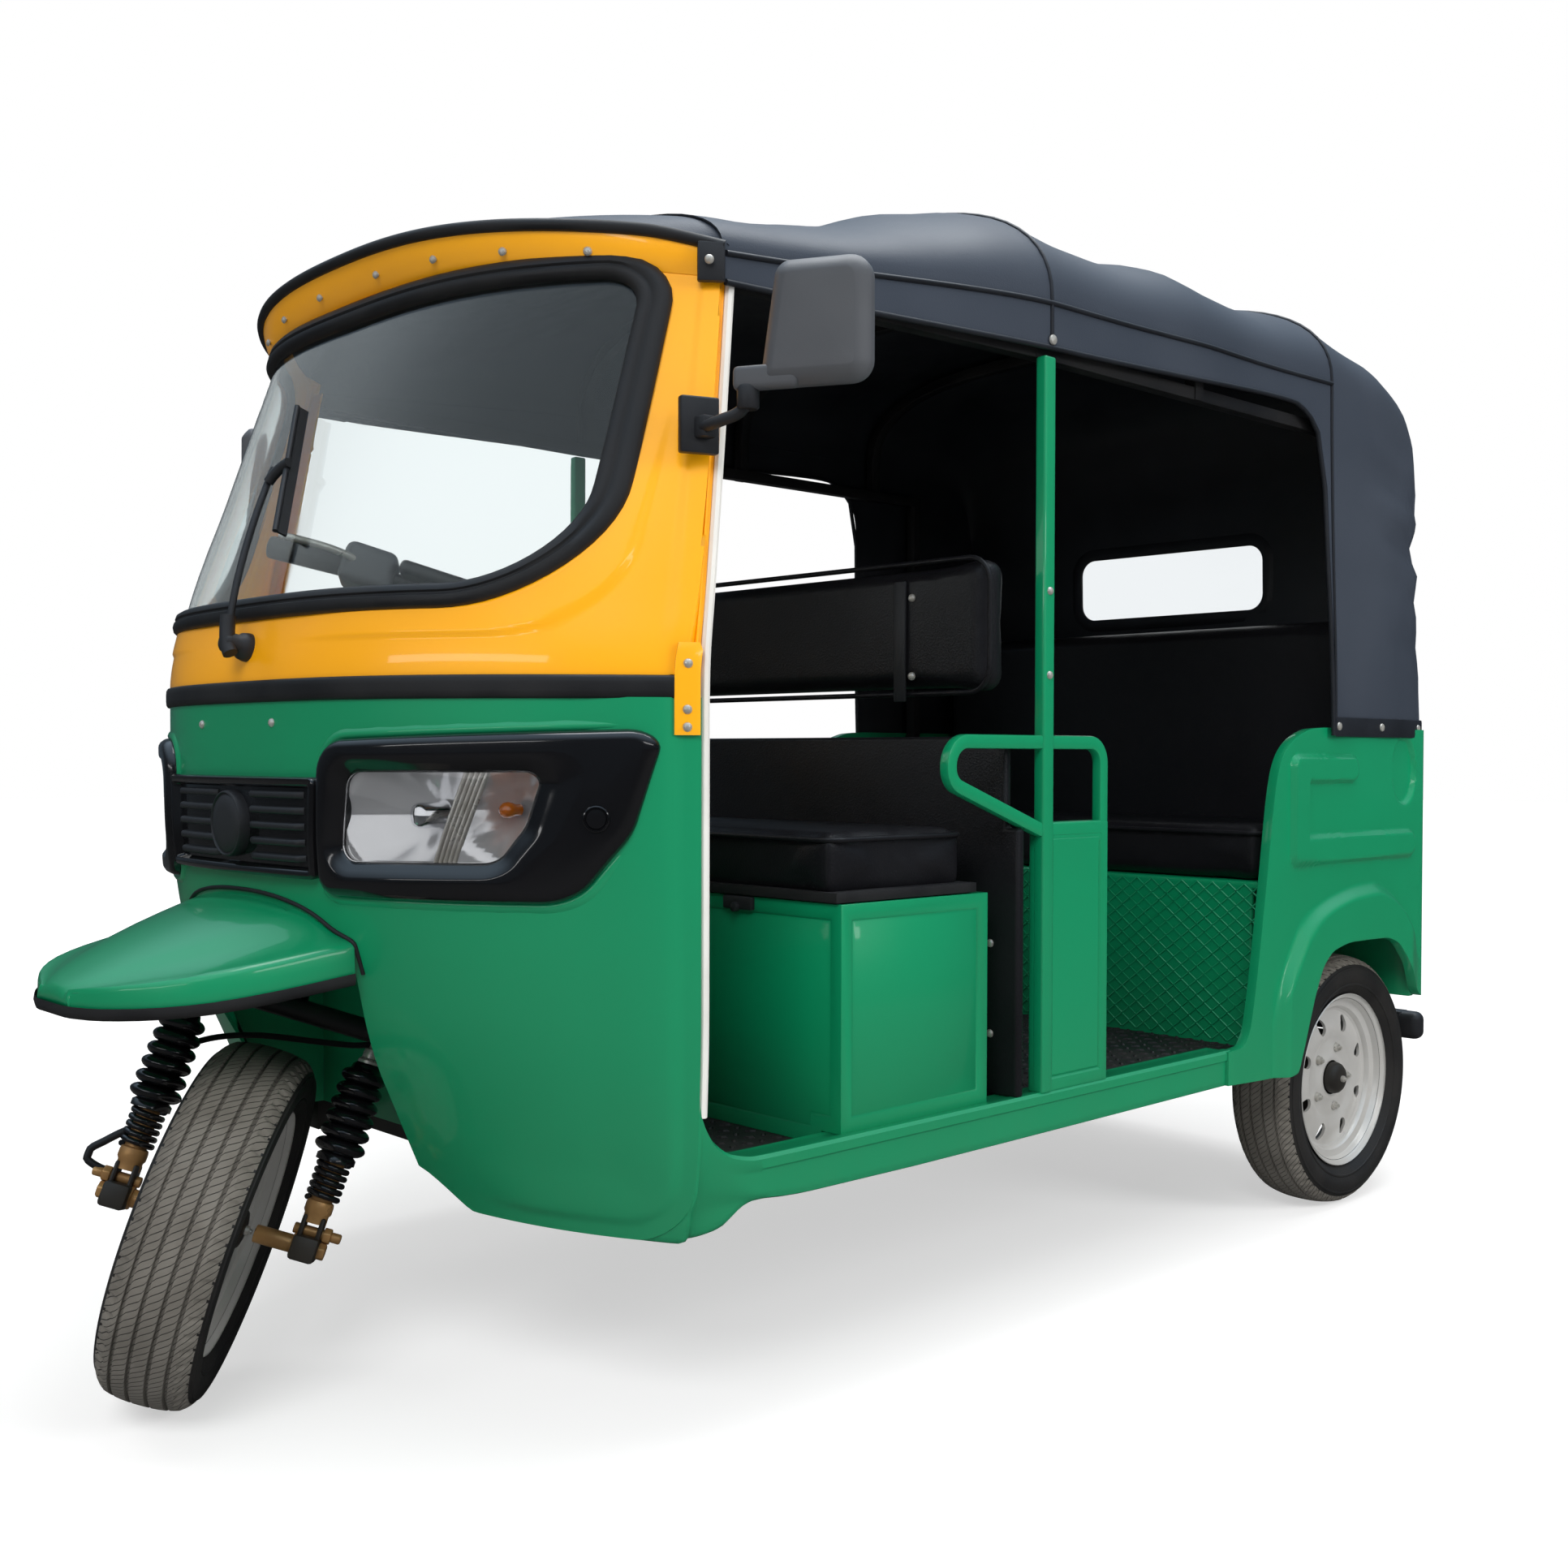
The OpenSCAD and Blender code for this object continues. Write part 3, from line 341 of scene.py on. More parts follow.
def loopOf(corners, grow=0.0, arcSteps=8, edgeSteps=6):  # loops of one outline that match point for point
    arcs = cornerArcs(cornersGrown(corners, grow), arcSteps)
    points = []
    for i, arc in enumerate(arcs):
        points += arc
        onward = arcs[(i + 1) % len(arcs)][0]
        points += [arc[-1].lerp(onward, k / edgeSteps) for k in range(1, edgeSteps)]
    return points


# loops of 3-D points, one row each, with an optional middle point
def ringGrid(name, loops, closeMiddle=None):
    rows = list(loops)
    if closeMiddle is not None:
        rows.append([Vector(closeMiddle)] * len(rows[0]))
    count, last = len(rows[0]), len(rows) - 1

    def rule(u, v):
        return rows[stepOf(v, last)][stepOf(u, count) % count]

    obj = startGrid(name, count, last, rule)
    mend(obj, 0.00003)
    return obj


def inOutline(x, z, points):
    inside = False
    for a, b in zip(points, points[1:] + points[:1]):
        if (a.y > z) != (b.y > z) and x < (b.x - a.x) * (z - a.y) / (b.y - a.y) + a.x:
            inside = not inside
    return inside


# finishes

def tone(red, green, blue):  # a colour written as on a screen, 0 to 255
    return tuple(((c / 255 + 0.055) / 1.055) ** 2.4 if c > 10 else c / 255 / 12.92
                 for c in (red, green, blue)) + (1,)


def addNode(tree, kind, inputs=(), **settings):  # inputs are pairs of a socket and its value
    node = tree.nodes.new("ShaderNode" + kind)
    for key, value in settings.items():
        setattr(node, key, value)
    for socket, value in inputs:
        node.inputs[socket].default_value = value
    return node


def wire(tree, *rows):  # a row is a node and its output, then a node and its input
    for source, output, target, socket in rows:
        tree.links.new(source.outputs[output], target.inputs[socket])


def newGroup(name, inputs, outputs):
    group = bpy.data.node_groups.new(name, "ShaderNodeTree")
    for socket, kind, value in inputs:
        item = group.interface.new_socket(socket, in_out="INPUT", socket_type="NodeSocket" + kind)
        item.default_value = value
    for socket, kind in outputs:
        group.interface.new_socket(socket, in_out="OUTPUT", socket_type="NodeSocket" + kind)
    return group, group.nodes.new("NodeGroupInput"), group.nodes.new("NodeGroupOutput")


white, black = (1, 1, 1, 1), (0, 0, 0, 1)


def makeMottle():  # slow patches of a second colour, with a roughness that follows them
    group, start, end = newGroup("mottle", [
        ("Color", "Color", white), ("Second", "Color", black), ("Scale", "Float", 3.0),
        ("Amount", "Float", 0.3), ("Smooth", "Float", 0.3), ("Rough", "Float", 0.5)],
        [("Color", "Color"), ("Roughness", "Float")])
    place = addNode(group, "TexCoord")
    noise = addNode(group, "TexNoise", [("Detail", 3)])
    sharpen = addNode(group, "MapRange", [("From Min", 0.3), ("From Max", 0.72)],
                      interpolation_type="SMOOTHSTEP")
    share = addNode(group, "Math", operation="MULTIPLY")
    blend = addNode(group, "Mix", data_type="RGBA")
    rough = addNode(group, "Mix")
    wire(group, (place, "Object", noise, "Vector"), (start, "Scale", noise, "Scale"),
         (noise, "Fac", sharpen, "Value"), (sharpen, "Result", share, 0), (start, "Amount", share, 1),
         (share, 0, blend, "Factor"), (start, "Color", blend, "A"), (start, "Second", blend, "B"),
         (sharpen, "Result", rough, "Factor"), (start, "Smooth", rough, "A"), (start, "Rough", rough, "B"),
         (blend, "Result", end, "Color"), (rough, "Result", end, "Roughness"))
    return group


def makeRoadDust():  # more dust lower down, broken up by noise
    group, start, end = newGroup("roadDust", [
        ("Color", "Color", white), ("Dust", "Color", tone(150, 138, 118)), ("High", "Float", 0.6),
        ("Amount", "Float", 0.25)], [("Color", "Color")])
    place = addNode(group, "TexCoord")
    split = addNode(group, "SeparateXYZ")
    noise = addNode(group, "TexNoise", [("Scale", 14), ("Detail", 4)])
    level = addNode(group, "MapRange", [("From Min", 0.2), ("To Min", 1), ("To Max", 0)])
    both = addNode(group, "Math", operation="MULTIPLY")
    share = addNode(group, "Math", operation="MULTIPLY")
    blend = addNode(group, "Mix", data_type="RGBA")
    wire(group, (place, "Object", split, 0), (place, "Object", noise, "Vector"), (split, "Z", level, "Value"),
         (start, "High", level, "From Max"), (level, "Result", both, 0), (noise, "Fac", both, 1),
         (both, 0, share, 0), (start, "Amount", share, 1), (share, 0, blend, "Factor"),
         (start, "Color", blend, "A"), (start, "Dust", blend, "B"), (blend, "Result", end, "Color"))
    return group


def makeGrain():  # leather-like cells over a fine noise, as a height
    group, start, end = newGroup("grain", [("Cells", "Float", 300.0), ("Fine", "Float", 900.0)],
                                 [("Height", "Float")])
    place = addNode(group, "TexCoord")
    cells = addNode(group, "TexVoronoi")
    fine = addNode(group, "TexNoise", [("Detail", 1)])
    add = addNode(group, "Math", [(1, 0.4)], operation="MULTIPLY_ADD")
    wire(group, (place, "Object", cells, "Vector"), (place, "Object", fine, "Vector"),
         (start, "Cells", cells, "Scale"), (start, "Fine", fine, "Scale"), (fine, "Fac", add, 0),
         (cells, "Distance", add, 2), (add, 0, end, "Height"))
    return group


def makeSipes():  # fine slanting cuts across the ribs of a tyre, placed by its UV map
    group, start, end = newGroup("sipes", [
        ("Color", "Color", white), ("CutShade", "Color", black), ("Count", "Float", 100.0),
        ("Slant", "Float", 5.0)],
        [("Color", "Color"), ("Height", "Float")])
    place = addNode(group, "TexCoord")
    split = addNode(group, "SeparateXYZ")
    slant = addNode(group, "Math", operation="MULTIPLY")
    phase = addNode(group, "Math", operation="MULTIPLY_ADD")
    swing = addNode(group, "Math", [(1, 0.5)], operation="PINGPONG")
    cut = addNode(group, "MapRange", [("From Min", 0.025), ("From Max", 0.085)],
                  interpolation_type="SMOOTHSTEP")
    # the cut lines take the dark colour: painted shade inside each cut
    shade = addNode(group, "Mix", data_type="RGBA")
    wire(group, (place, "UV", split, 0), (split, "Y", slant, 0), (start, "Slant", slant, 1),
         (split, "X", phase, 0), (start, "Count", phase, 1), (slant, 0, phase, 2), (phase, 0, swing, 0),
         (swing, 0, cut, "Value"), (cut, "Result", shade, "Factor"), (start, "CutShade", shade, "A"),
         (start, "Color", shade, "B"), (shade, "Result", end, "Color"), (cut, "Result", end, "Height"))
    return group


mottle, roadDust, grain, sipes = makeMottle(), makeRoadDust(), makeGrain(), makeSipes()


def newMaterial(name, inputs):  # a material, its node tree and its Principled shader
    material = bpy.data.materials.new(name)
    material.use_nodes = True
    tree = material.node_tree
    shader = tree.nodes["Principled BSDF"]
    for socket, value in inputs:
        shader.inputs[socket].default_value = value
    return material, tree, shader


def makeFinish(name, colour, second, scale, amount, smooth, rough, metallic=0.0, coat=0.0, dust=0.0,
               dustHigh=0.6, cells=0.0, fine=900.0, bump=0.0, depth=0.0004, specular=0.5):
    material, tree, shader = newMaterial(name, [("Metallic", metallic), ("Coat Weight", coat),
                                                ("Coat Roughness", 0.05), ("Specular IOR Level", specular)])
    patches = addNode(tree, "Group", [
        ("Color", tone(*colour)), ("Second", tone(*second)), ("Scale", scale), ("Amount", amount),
        ("Smooth", smooth), ("Rough", rough)], node_tree=mottle)
    wire(tree, (patches, "Roughness", shader, "Roughness"), (patches, "Color", shader, "Base Color"))
    if dust:
        dirt = addNode(tree, "Group", [("Amount", dust), ("High", dustHigh)], node_tree=roadDust)
        wire(tree, (patches, "Color", dirt, "Color"), (dirt, "Color", shader, "Base Color"))
    if bump:
        texture = addNode(tree, "Group", [("Cells", cells), ("Fine", fine)], node_tree=grain)
        lift = addNode(tree, "Bump", [("Strength", bump), ("Distance", depth)])
        wire(tree, (texture, "Height", lift, "Height"), (lift, "Normal", shader, "Normal"))
    return material


def makeGlass(name, colour, roughness=0.0, ior=1.45, ripple=0.0):
    material, tree, shader = newMaterial(name, [("Base Color", tone(*colour)), ("Transmission Weight", 1),
                                                ("IOR", ior)])
    place = addNode(tree, "TexCoord")
    smudge = addNode(tree, "TexNoise", [("Scale", 5), ("Detail", 5)])
    haze = addNode(tree, "MapRange", [("From Min", 0.45), ("From Max", 0.8), ("To Min", roughness),
                                      ("To Max", roughness + 0.05)])
    wire(tree, (place, "Object", smudge, "Vector"), (smudge, "Fac", haze, "Value"),
         (haze, "Result", shader, "Roughness"))
    if ripple:
        wave = addNode(tree, "TexWave", [("Scale", 30)])
        lift = addNode(tree, "Bump", [("Strength", ripple), ("Distance", 0.002)])
        wire(tree, (place, "Object", wave, "Vector"), (wave, "Fac", lift, "Height"),
             (lift, "Normal", shader, "Normal"))
    return material


finishRows = {  # colour, second colour, size and share of its patches, roughness of each, and what else
    "greenPaint": ((8, 139, 92), (6, 128, 83), 1.6, 0.4, 0.30, 0.38,
                   {"coat": 0.6, "dust": 0.05, "dustHigh": 0.5, "fine": 160, "bump": 0.02}),
    "yellowPaint": ((254, 176, 10), (249, 167, 6), 1.4, 0.4, 0.30, 0.38,
                    {"coat": 0.6, "fine": 160, "bump": 0.02}),
    "glossBlack": ((13, 13, 15), (20, 20, 23), 4, 0.5, 0.12, 0.22,
                   {"coat": 0.6, "cells": 120, "fine": 500, "bump": 0.02}),
    "satinBlack": ((30, 31, 34), (42, 43, 46), 6, 0.5, 0.42, 0.58,
                   {"cells": 700, "fine": 1600, "bump": 0.25, "depth": 0.0003}),
    "mirrorShell": ((78, 80, 84), (66, 68, 72), 5, 0.5, 0.38, 0.5,
                    {"cells": 900, "fine": 1800, "bump": 0.2, "depth": 0.0003}),
    "rubber": ((24, 24, 26), (40, 39, 39), 9, 0.5, 0.45, 0.65, {"cells": 500, "fine": 1500, "bump": 0.15}),
    "frameBlack": ((18, 18, 19), (32, 29, 26), 8, 0.4, 0.35, 0.6, {"dust": 0.12, "dustHigh": 0.5, "cells": 90,
            "fine": 500, "bump": 0.2}),
    "canopyVinyl": ((52, 58, 68), (64, 70, 80), 2.5, 0.6, 0.44, 0.58,
                    {"cells": 420, "fine": 1400, "bump": 0.3, "depth": 0.0005, "specular": 0.3}),
    # dark trim vinyl for bindings and seams; also laid on the canopy's inner faces as painted shade
    "canopyTrimAndInnerShade": ((26, 28, 33), (38, 41, 48), 9, 0.5, 0.4, 0.55, {"cells": 500, "fine": 1400, "bump": 0.2}),
    "seatVinyl": ((19, 19, 22), (27, 27, 30), 5, 0.5, 0.36, 0.52,
                  {"cells": 330, "fine": 1100, "bump": 0.4, "depth": 0.0006, "specular": 0.35}),
    "floorMat": ((22, 22, 23), (46, 44, 41), 7, 0.6, 0.5, 0.75, {"cells": 260, "fine": 900, "bump": 0.3}),
    # the tread is lighter than the sidewall: road dust on the rubber, and partly a painted highlight on the
    # ribs
    "tread": ((116, 112, 105), (88, 84, 78), 16, 0.6, 0.7, 0.9,
              {"cells": 240, "fine": 900, "bump": 0.25, "depth": 0.0008}),
    "sidewall": ((30, 29, 29), (46, 43, 40), 12, 0.5, 0.55, 0.75, {"cells": 200, "fine": 900, "bump": 0.3}),
    "rimSilver": ((214, 213, 210), (190, 188, 184), 9, 0.5, 0.28, 0.42,
                  {"metallic": 0.35, "dust": 0.2, "dustHigh": 0.45, "cells": 90, "fine": 700, "bump": 0.06}),
    "chrome": ((226, 227, 230), (196, 198, 202), 6, 0.4, 0.06, 0.14, {"metallic": 1.0}),
    "reflector": ((246, 246, 248), (224, 225, 228), 5, 0.4, 0.10, 0.2, {"metallic": 0.45}),
    "zinc": ((206, 204, 198), (168, 162, 150), 40, 0.5, 0.25, 0.45, {"metallic": 0.6}),
    "bronze": ((196, 152, 98), (128, 92, 58), 22, 0.6, 0.25, 0.5,
               {"metallic": 0.55, "cells": 200, "fine": 900, "bump": 0.1}),
    "castMetal": ((96, 95, 92), (58, 54, 50), 7, 0.6, 0.45, 0.7,
                  {"metallic": 0.6, "dust": 0.4, "dustHigh": 0.6, "cells": 160, "fine": 700, "bump": 0.4,
                   "depth": 0.0008}),
    "whiteTrim": ((228, 227, 222), (206, 203, 196), 8, 0.5, 0.35, 0.5,
                  {"cells": 300, "fine": 900, "bump": 0.05}),
    "tailRed": ((150, 16, 14), (120, 10, 10), 6, 0.4, 0.08, 0.16,
                {"coat": 0.8, "cells": 260, "fine": 700, "bump": 0.3}),
    "amber": ((224, 120, 20), (190, 90, 12), 30, 0.4, 0.06, 0.14, {"coat": 0.8}),
    "plateWhite": ((222, 220, 212), (196, 192, 182), 9, 0.5, 0.4, 0.55,
                   {"cells": 200, "fine": 700, "bump": 0.05}),
    "mirrorGlass": ((214, 218, 222), (196, 202, 208), 4, 0.3, 0.02, 0.05, {"metallic": 1.0}),
}
glassRows = {  # colour, roughness, refraction, ripple
    "screenGlass": ((242, 250, 250), 0.0),
    "lensGlass": ((250, 251, 252), 0.0, 1.3),
    "clearVinyl": ((240, 244, 246), 0.03, 1.2, 0.08),
}
finish = {name: makeFinish(name, *row[:-1], **row[-1]) for name, row in finishRows.items()}
finish.update({name: makeGlass(name, *row) for name, row in glassRows.items()})


def cutTread(material):
    tree = material.node_tree
    shader = tree.nodes["Principled BSDF"]
    # the cuts are coloured darker, a painted shade inside them, and sunk by a bump
    cuts = addNode(tree, "Group", [("CutShade", tone(46, 44, 42)), ("Count", 136), ("Slant", 26)],
                   node_tree=sipes)
    lift = addNode(tree, "Bump", [("Strength", 0.7), ("Distance", 0.002)])
    tree.links.new(shader.inputs["Base Color"].links[0].from_socket, cuts.inputs["Color"])
    tree.links.new(shader.inputs["Normal"].links[0].from_socket, lift.inputs["Normal"])
    wire(tree, (cuts, "Color", shader, "Base Color"), (cuts, "Height", lift, "Height"),
         (lift, "Normal", shader, "Normal"))


cutTread(finish["tread"])
print("finishes ready:", len(finish))


# camera, floor and light

view = {"place": (2.1854, -2.0532, 0.8918), "azimuth": 46.56, "pitch": -1.044, "roll": 0.156, "lens": 37.77}


def makeCamera():
    data = bpy.data.cameras.new("photoCamera")
    data.sensor_width = 36
    data.lens = view["lens"]
    data.clip_end = 200
    camera = linked("photoCamera", data)
    a, p, r = (math.radians(view[key]) for key in ("azimuth", "pitch", "roll"))
    forward = Vector((-math.sin(a) * math.cos(p), math.cos(a) * math.cos(p), math.sin(p)))
    right = forward.cross(Vector((0, 0, 1))).normalized()
    up = right.cross(forward)
    side = right * math.cos(r) + up * math.sin(r)
    top = up * math.cos(r) - right * math.sin(r)
    camera.matrix_world = Matrix((
        (side.x, top.x, -forward.x, view["place"][0]), (side.y, top.y, -forward.y, view["place"][1]),
        (side.z, top.z, -forward.z, view["place"][2]), (0, 0, 0, 1)))
    bpy.context.scene.camera = camera


studio = {"world": 0.33, "mirrored": 0.08, "mirroredSky": 1.1, "mirroredTone": (0.6, 0.8, 1, 1),
          "backdrop": 1.0, "floorTone": (0.62, 0.62, 0.62, 1), "floorMirrored": (0.06, 0.06, 0.06, 1),
          "floorNear": 0.52, "floorFar": 1.0, "climb": (0.25, 0.9), "fade": (2.2, 6.0)}
lamps = [  # name, place, aim, width, height, power, seen as a mirror image
    ("keyBox", (3.4, -4.6, 4.6), (0, -0.2, 0.8), 3.2, 2.4, 215, False),
    ("topBox", (0.2, 0.6, 5.2), (0, 0.2, 0.8), 3.6, 4.2, 170, True),
    ("sideBox", (5.2, 1.6, 2.6), (0.4, 0.4, 0.8), 2.4, 2.2, 140, False),
    ("farBox", (-4.6, -2.6, 3.2), (0, -0.6, 0.9), 2.2, 2.6, 60, False),
    ("edgeStrip", (1.4, -6.0, 2.35), (0, -0.8, 0.9), 5.0, 0.4, 26, True),
    ("sideStrip", (6.0, -0.6, 2.6), (0.6, 0.2, 0.8), 4.0, 0.4, 22, True),
]


def makeWorld():
    world = bpy.data.worlds.new("studio")
    bpy.context.scene.world = world
    world.use_nodes = True
    tree = world.node_tree
    back = tree.nodes["Background"]
    rays = addNode(tree, "LightPath")
    clear = addNode(tree, "Math", operation="MAXIMUM")  # seen straight on or through glass
    sky = addNode(tree, "TexCoord")
    height = addNode(tree, "SeparateXYZ")
    low, high = studio["climb"]
    climb = addNode(tree, "MapRange", [("From Min", low), ("From Max", high), ("To Min", studio["mirrored"]),
                                       ("To Max", studio["mirroredSky"])], interpolation_type="SMOOTHSTEP")
    # paint mirrors a dimmer room than the one that lights it
    shine = addNode(tree, "Mix", [("A", studio["world"])])
    level = addNode(tree, "Mix", [("B", studio["backdrop"])])
    tinted = addNode(tree, "Math", operation="SUBTRACT", use_clamp=True)
    hue = addNode(tree, "Mix", [("A", white), ("B", studio["mirroredTone"])], data_type="RGBA")
    wire(tree, (sky, "Generated", height, 0), (height, "Z", climb, "Value"), (climb, "Result", shine, "B"),
         (rays, "Is Glossy Ray", shine, "Factor"), (rays, "Is Camera Ray", clear, 0),
         (rays, "Is Transmission Ray", clear, 1), (shine, "Result", level, "A"), (clear, 0, level, "Factor"),
         (level, "Result", back, "Strength"), (rays, "Is Glossy Ray", tinted, 0), (clear, 0, tinted, 1),
         (tinted, 0, hue, "Factor"), (hue, "Result", back, "Color"))


def makeFloor():
    deselect()
    bpy.ops.mesh.primitive_grid_add(x_subdivisions=2, y_subdivisions=2, size=60)
    floor = bpy.context.object
    floor.name = "floor"
    material, tree, shader = newMaterial("floorPaper", [("Roughness", 0.9), ("Specular IOR Level", 0.1),
                                                        ("Emission Color", white)])
    place = addNode(tree, "TexCoord")
    reach = addNode(tree, "VectorMath", operation="LENGTH")
    low, high = studio["fade"]  # the floor goes over into the white backdrop, and keeps its shadow near by
    fade = addNode(tree, "MapRange", [("From Min", low), ("From Max", high), ("To Min", studio["floorNear"]),
                                      ("To Max", studio["floorFar"])])
    rays = addNode(tree, "LightPath")
    seen = addNode(tree, "Math", operation="MULTIPLY")
    dim = addNode(tree, "Mix", [("A", studio["floorTone"]), ("B", studio["floorMirrored"])], data_type="RGBA")
    wire(tree, (rays, "Is Glossy Ray", dim, "Factor"), (dim, "Result", shader, "Base Color"),
         (place, "Object", reach, 0), (reach, "Value", fade, "Value"), (fade, "Result", seen, 0),
         (rays, "Is Camera Ray", seen, 1), (seen, 0, shader, "Emission Strength"))
    floor.data.materials.append(material)


def makeLamps():
    for name, place, aim, width, height, power, seen in lamps:
        data = bpy.data.lights.new(name, "AREA")
        data.shape = "RECTANGLE"
        data.size, data.size_y, data.energy = width, height, power
        lamp = linked(name, data)
        lamp.visible_glossy = seen
        lamp.visible_transmission = False
        lamp.visible_diffuse = "Strip" not in name
        turn = (Vector(aim) - Vector(place)).to_track_quat("-Z", "Y").to_matrix().to_4x4()
        lamp.matrix_world = Matrix.Translation(place) @ turn


bpy.context.scene.view_settings.view_transform = "Standard"
makeCamera()
makeWorld()
makeFloor()
makeLamps()
print("camera and studio ready")


# steering frame: the origin is the middle of the front wheel and Z runs up the column

steer = {"place": (0, -1.07, 0.244395), "rake": 22, "rest": 54}
steerFrame = (Matrix.Translation(steer["place"]) @ Matrix.Rotation(math.radians(-steer["rake"]), 4, "X")
              @ Matrix.Rotation(math.radians(steer["rest"]), 4, "Z"))


# hoses and cables of the steering, which come first because their length is checked

hoses = [  # name, radius, points in the steering frame
    ("brakeHose", 0.0055, [(-0.146, 0.0, 0.088), (-0.158, -0.001, 0.078), (-0.174, -0.002, 0.062),
                           (-0.188, -0.003, 0.046), (-0.188, -0.003, 0.035), (-0.174, 0.0, 0.028),
                           (-0.162, 0.002, 0.026), (-0.150, 0.004, 0.026)]),
    ("speedCable", 0.0045, [(-0.128, 0.040, 0.214), (-0.094, 0.072, 0.238), (-0.04, 0.086, 0.258),
                            (0.04, 0.072, 0.272), (0.10, 0.036, 0.282), (0.128, 0.010, 0.29)]),
]
hoseSteps = 24


def makeHoses():
    for name, radius, points in hoses:
        rows = [(i, *p) for i, p in enumerate(points)]
        dense = [steerFrame @ Vector(along(rows, k * (len(points) - 1) / hoseSteps))
                 for k in range(hoseSteps + 1)]
        obj = curveOf(name, dense, radius)
        obj.data.materials.append(finish["rubber"])
        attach(obj, "steering")
        length = sum((b - a).length for a, b in zip(dense, dense[1:]))
        tuple(dense[0])


makeHoses()
print("hoses ready")


# headlamps: outlines are x, z, corner radius on the nose

lampShape = {
    "outline": [(0.222, 0.711, 0.024), (0.522, 0.708, 0.046), (0.568, 0.792, 0.110), (0.592, 0.920, 0.020),
                (0.226, 0.905, 0.044)],
    "lens": [(0.256, 0.752, 0.020), (0.455, 0.755, 0.026), (0.482, 0.800, 0.060), (0.498, 0.868, 0.014),
             (0.268, 0.867, 0.022)],
    "bezel": [(0.0035, -0.006), (0.0035, 0.004), (0.0020, 0.0100), (-0.0015, 0.0145), (-0.0060, 0.0170),
              (-0.0100, 0.0176)],
    "frame": [(0.0200, 0.0172), (0.0170, 0.0162), (0.0100, 0.0100), (0.0040, 0.0048), (0.0012, 0.0022),
              (0.0, -0.002), (-0.0006, -0.012)],
    "bowls": [(0.374, 0.812, 0.090, 0.062), (0.469, 0.820, 0.046, 0.052)],
    "divider": [(0.3965, 0.752), (0.4345, 0.869)],
    "shield": [(0.0, 0.040), (0.009, 0.040), (0.0145, 0.037), (0.0165, 0.032), (0.0165, 0.006),
               (0.0200, 0.0), (0.0200, -0.004)],
    "bulb": [(0.0, 0.030), (0.0060, 0.0285), (0.0095, 0.0245), (0.0105, 0.0190), (0.0095, 0.0130),
             (0.0075, 0.0080), (0.0075, 0.0)],
    "blank": (0.543, 0.811, 0.0165),
    "blankProfile": [(0.0, 0.0040), (0.72, 0.0038), (0.80, 0.0016), (0.86, 0.0016), (0.92, 0.0042),
                     (1.0, 0.0036), (1.04, 0.0)],
    "looks": {"lampHousings": ("glossBlack", "black_plastic", ["headlamps"], 60),
              "lampEmboss": ("greenPaint", "green_paint", (), 60),
              "lampLenses": ("lensGlass", "lamp_lens", ["lamp_lenses"]),
              "lampBowls": ("reflector", "lamp_lens", (), 40),
              "lampDividers": ("zinc", "black_plastic", (), 60),
              "lampBulbs": ("chrome", "lamp_lens", (), 50),
              "lampAmbers": ("amber", "lamp_lens", (), 50),
              "lampBlanks": ("glossBlack", "black_plastic", (), 40)},
}


# nose: a level is z, front of the curve, half width, rear edge

nose = {
    "rows": [(0.262, -0.842, 0.598, -0.712), (0.28, -0.85, 0.60, -0.712), (0.40, -0.91, 0.615, -0.712),
             (0.56, -0.99, 0.62, -0.712), (0.70, -1.025, 0.62, -0.712), (0.80, -1.034, 0.62, -0.712),
             (0.962, -1.035, 0.62, -0.712), (0.988, -1.035, 0.62, -0.712), (1.098, -1.0145, 0.612, -0.696),
             (1.30, -0.9407, 0.592, -0.662), (1.59, -0.83, 0.562, -0.614), (1.62, -0.818, 0.559, -0.609)],
    "wellRows": [(0.26, 0.20), (0.30, 0.203), (0.42, 0.214), (0.55, 0.240), (0.60, 0.246)],
    "wellTop": 0.60, "low": 0.269, "belt": 0.962, "wall": 0.005, "corner": 0.070,
}


def noseAt(x, z, out=0.0):
    def place(px, pz):
        front, half, back = along(nose["rows"], pz)
        return Vector((px, front + (back - front) * min(abs(px) / half, 1.0) ** 3, pz))
    here = place(x, z)
    if not out:
        return here
    step = 0.002
    edge = along(nose["rows"], z)[1]
    side = -step if x > 0 else step
    a = place(x + side, z) - here if abs(x) <= edge else Vector((side, 0, 0))
    b = place(x, z + step) - here
    normal = a.cross(b).normalized()
    if normal.y > 0:
        normal = -normal
    return here + normal * out


def noseEdge(z):
    return along(nose["rows"], z)[1]


def noseFrame(x, z, out=0.0):  # a matrix on the nose's skin whose Z points outwards
    here = noseAt(x, z, out)
    normal = (noseAt(x, z, 0.01) - noseAt(x, z)).normalized()
    return Matrix.Translation(here) @ facing(normal)


cabMiddle = (0, 0, 0.9)


def borderReach(x, z):  # how far inside the line that runs down the door edge and round along the bottom
    a, b, turn = noseEdge(z) - 0.013 - abs(x), z - 0.288, 0.060
    return turn - math.hypot(turn - a, turn - b) if a < turn and b < turn else min(a, b)


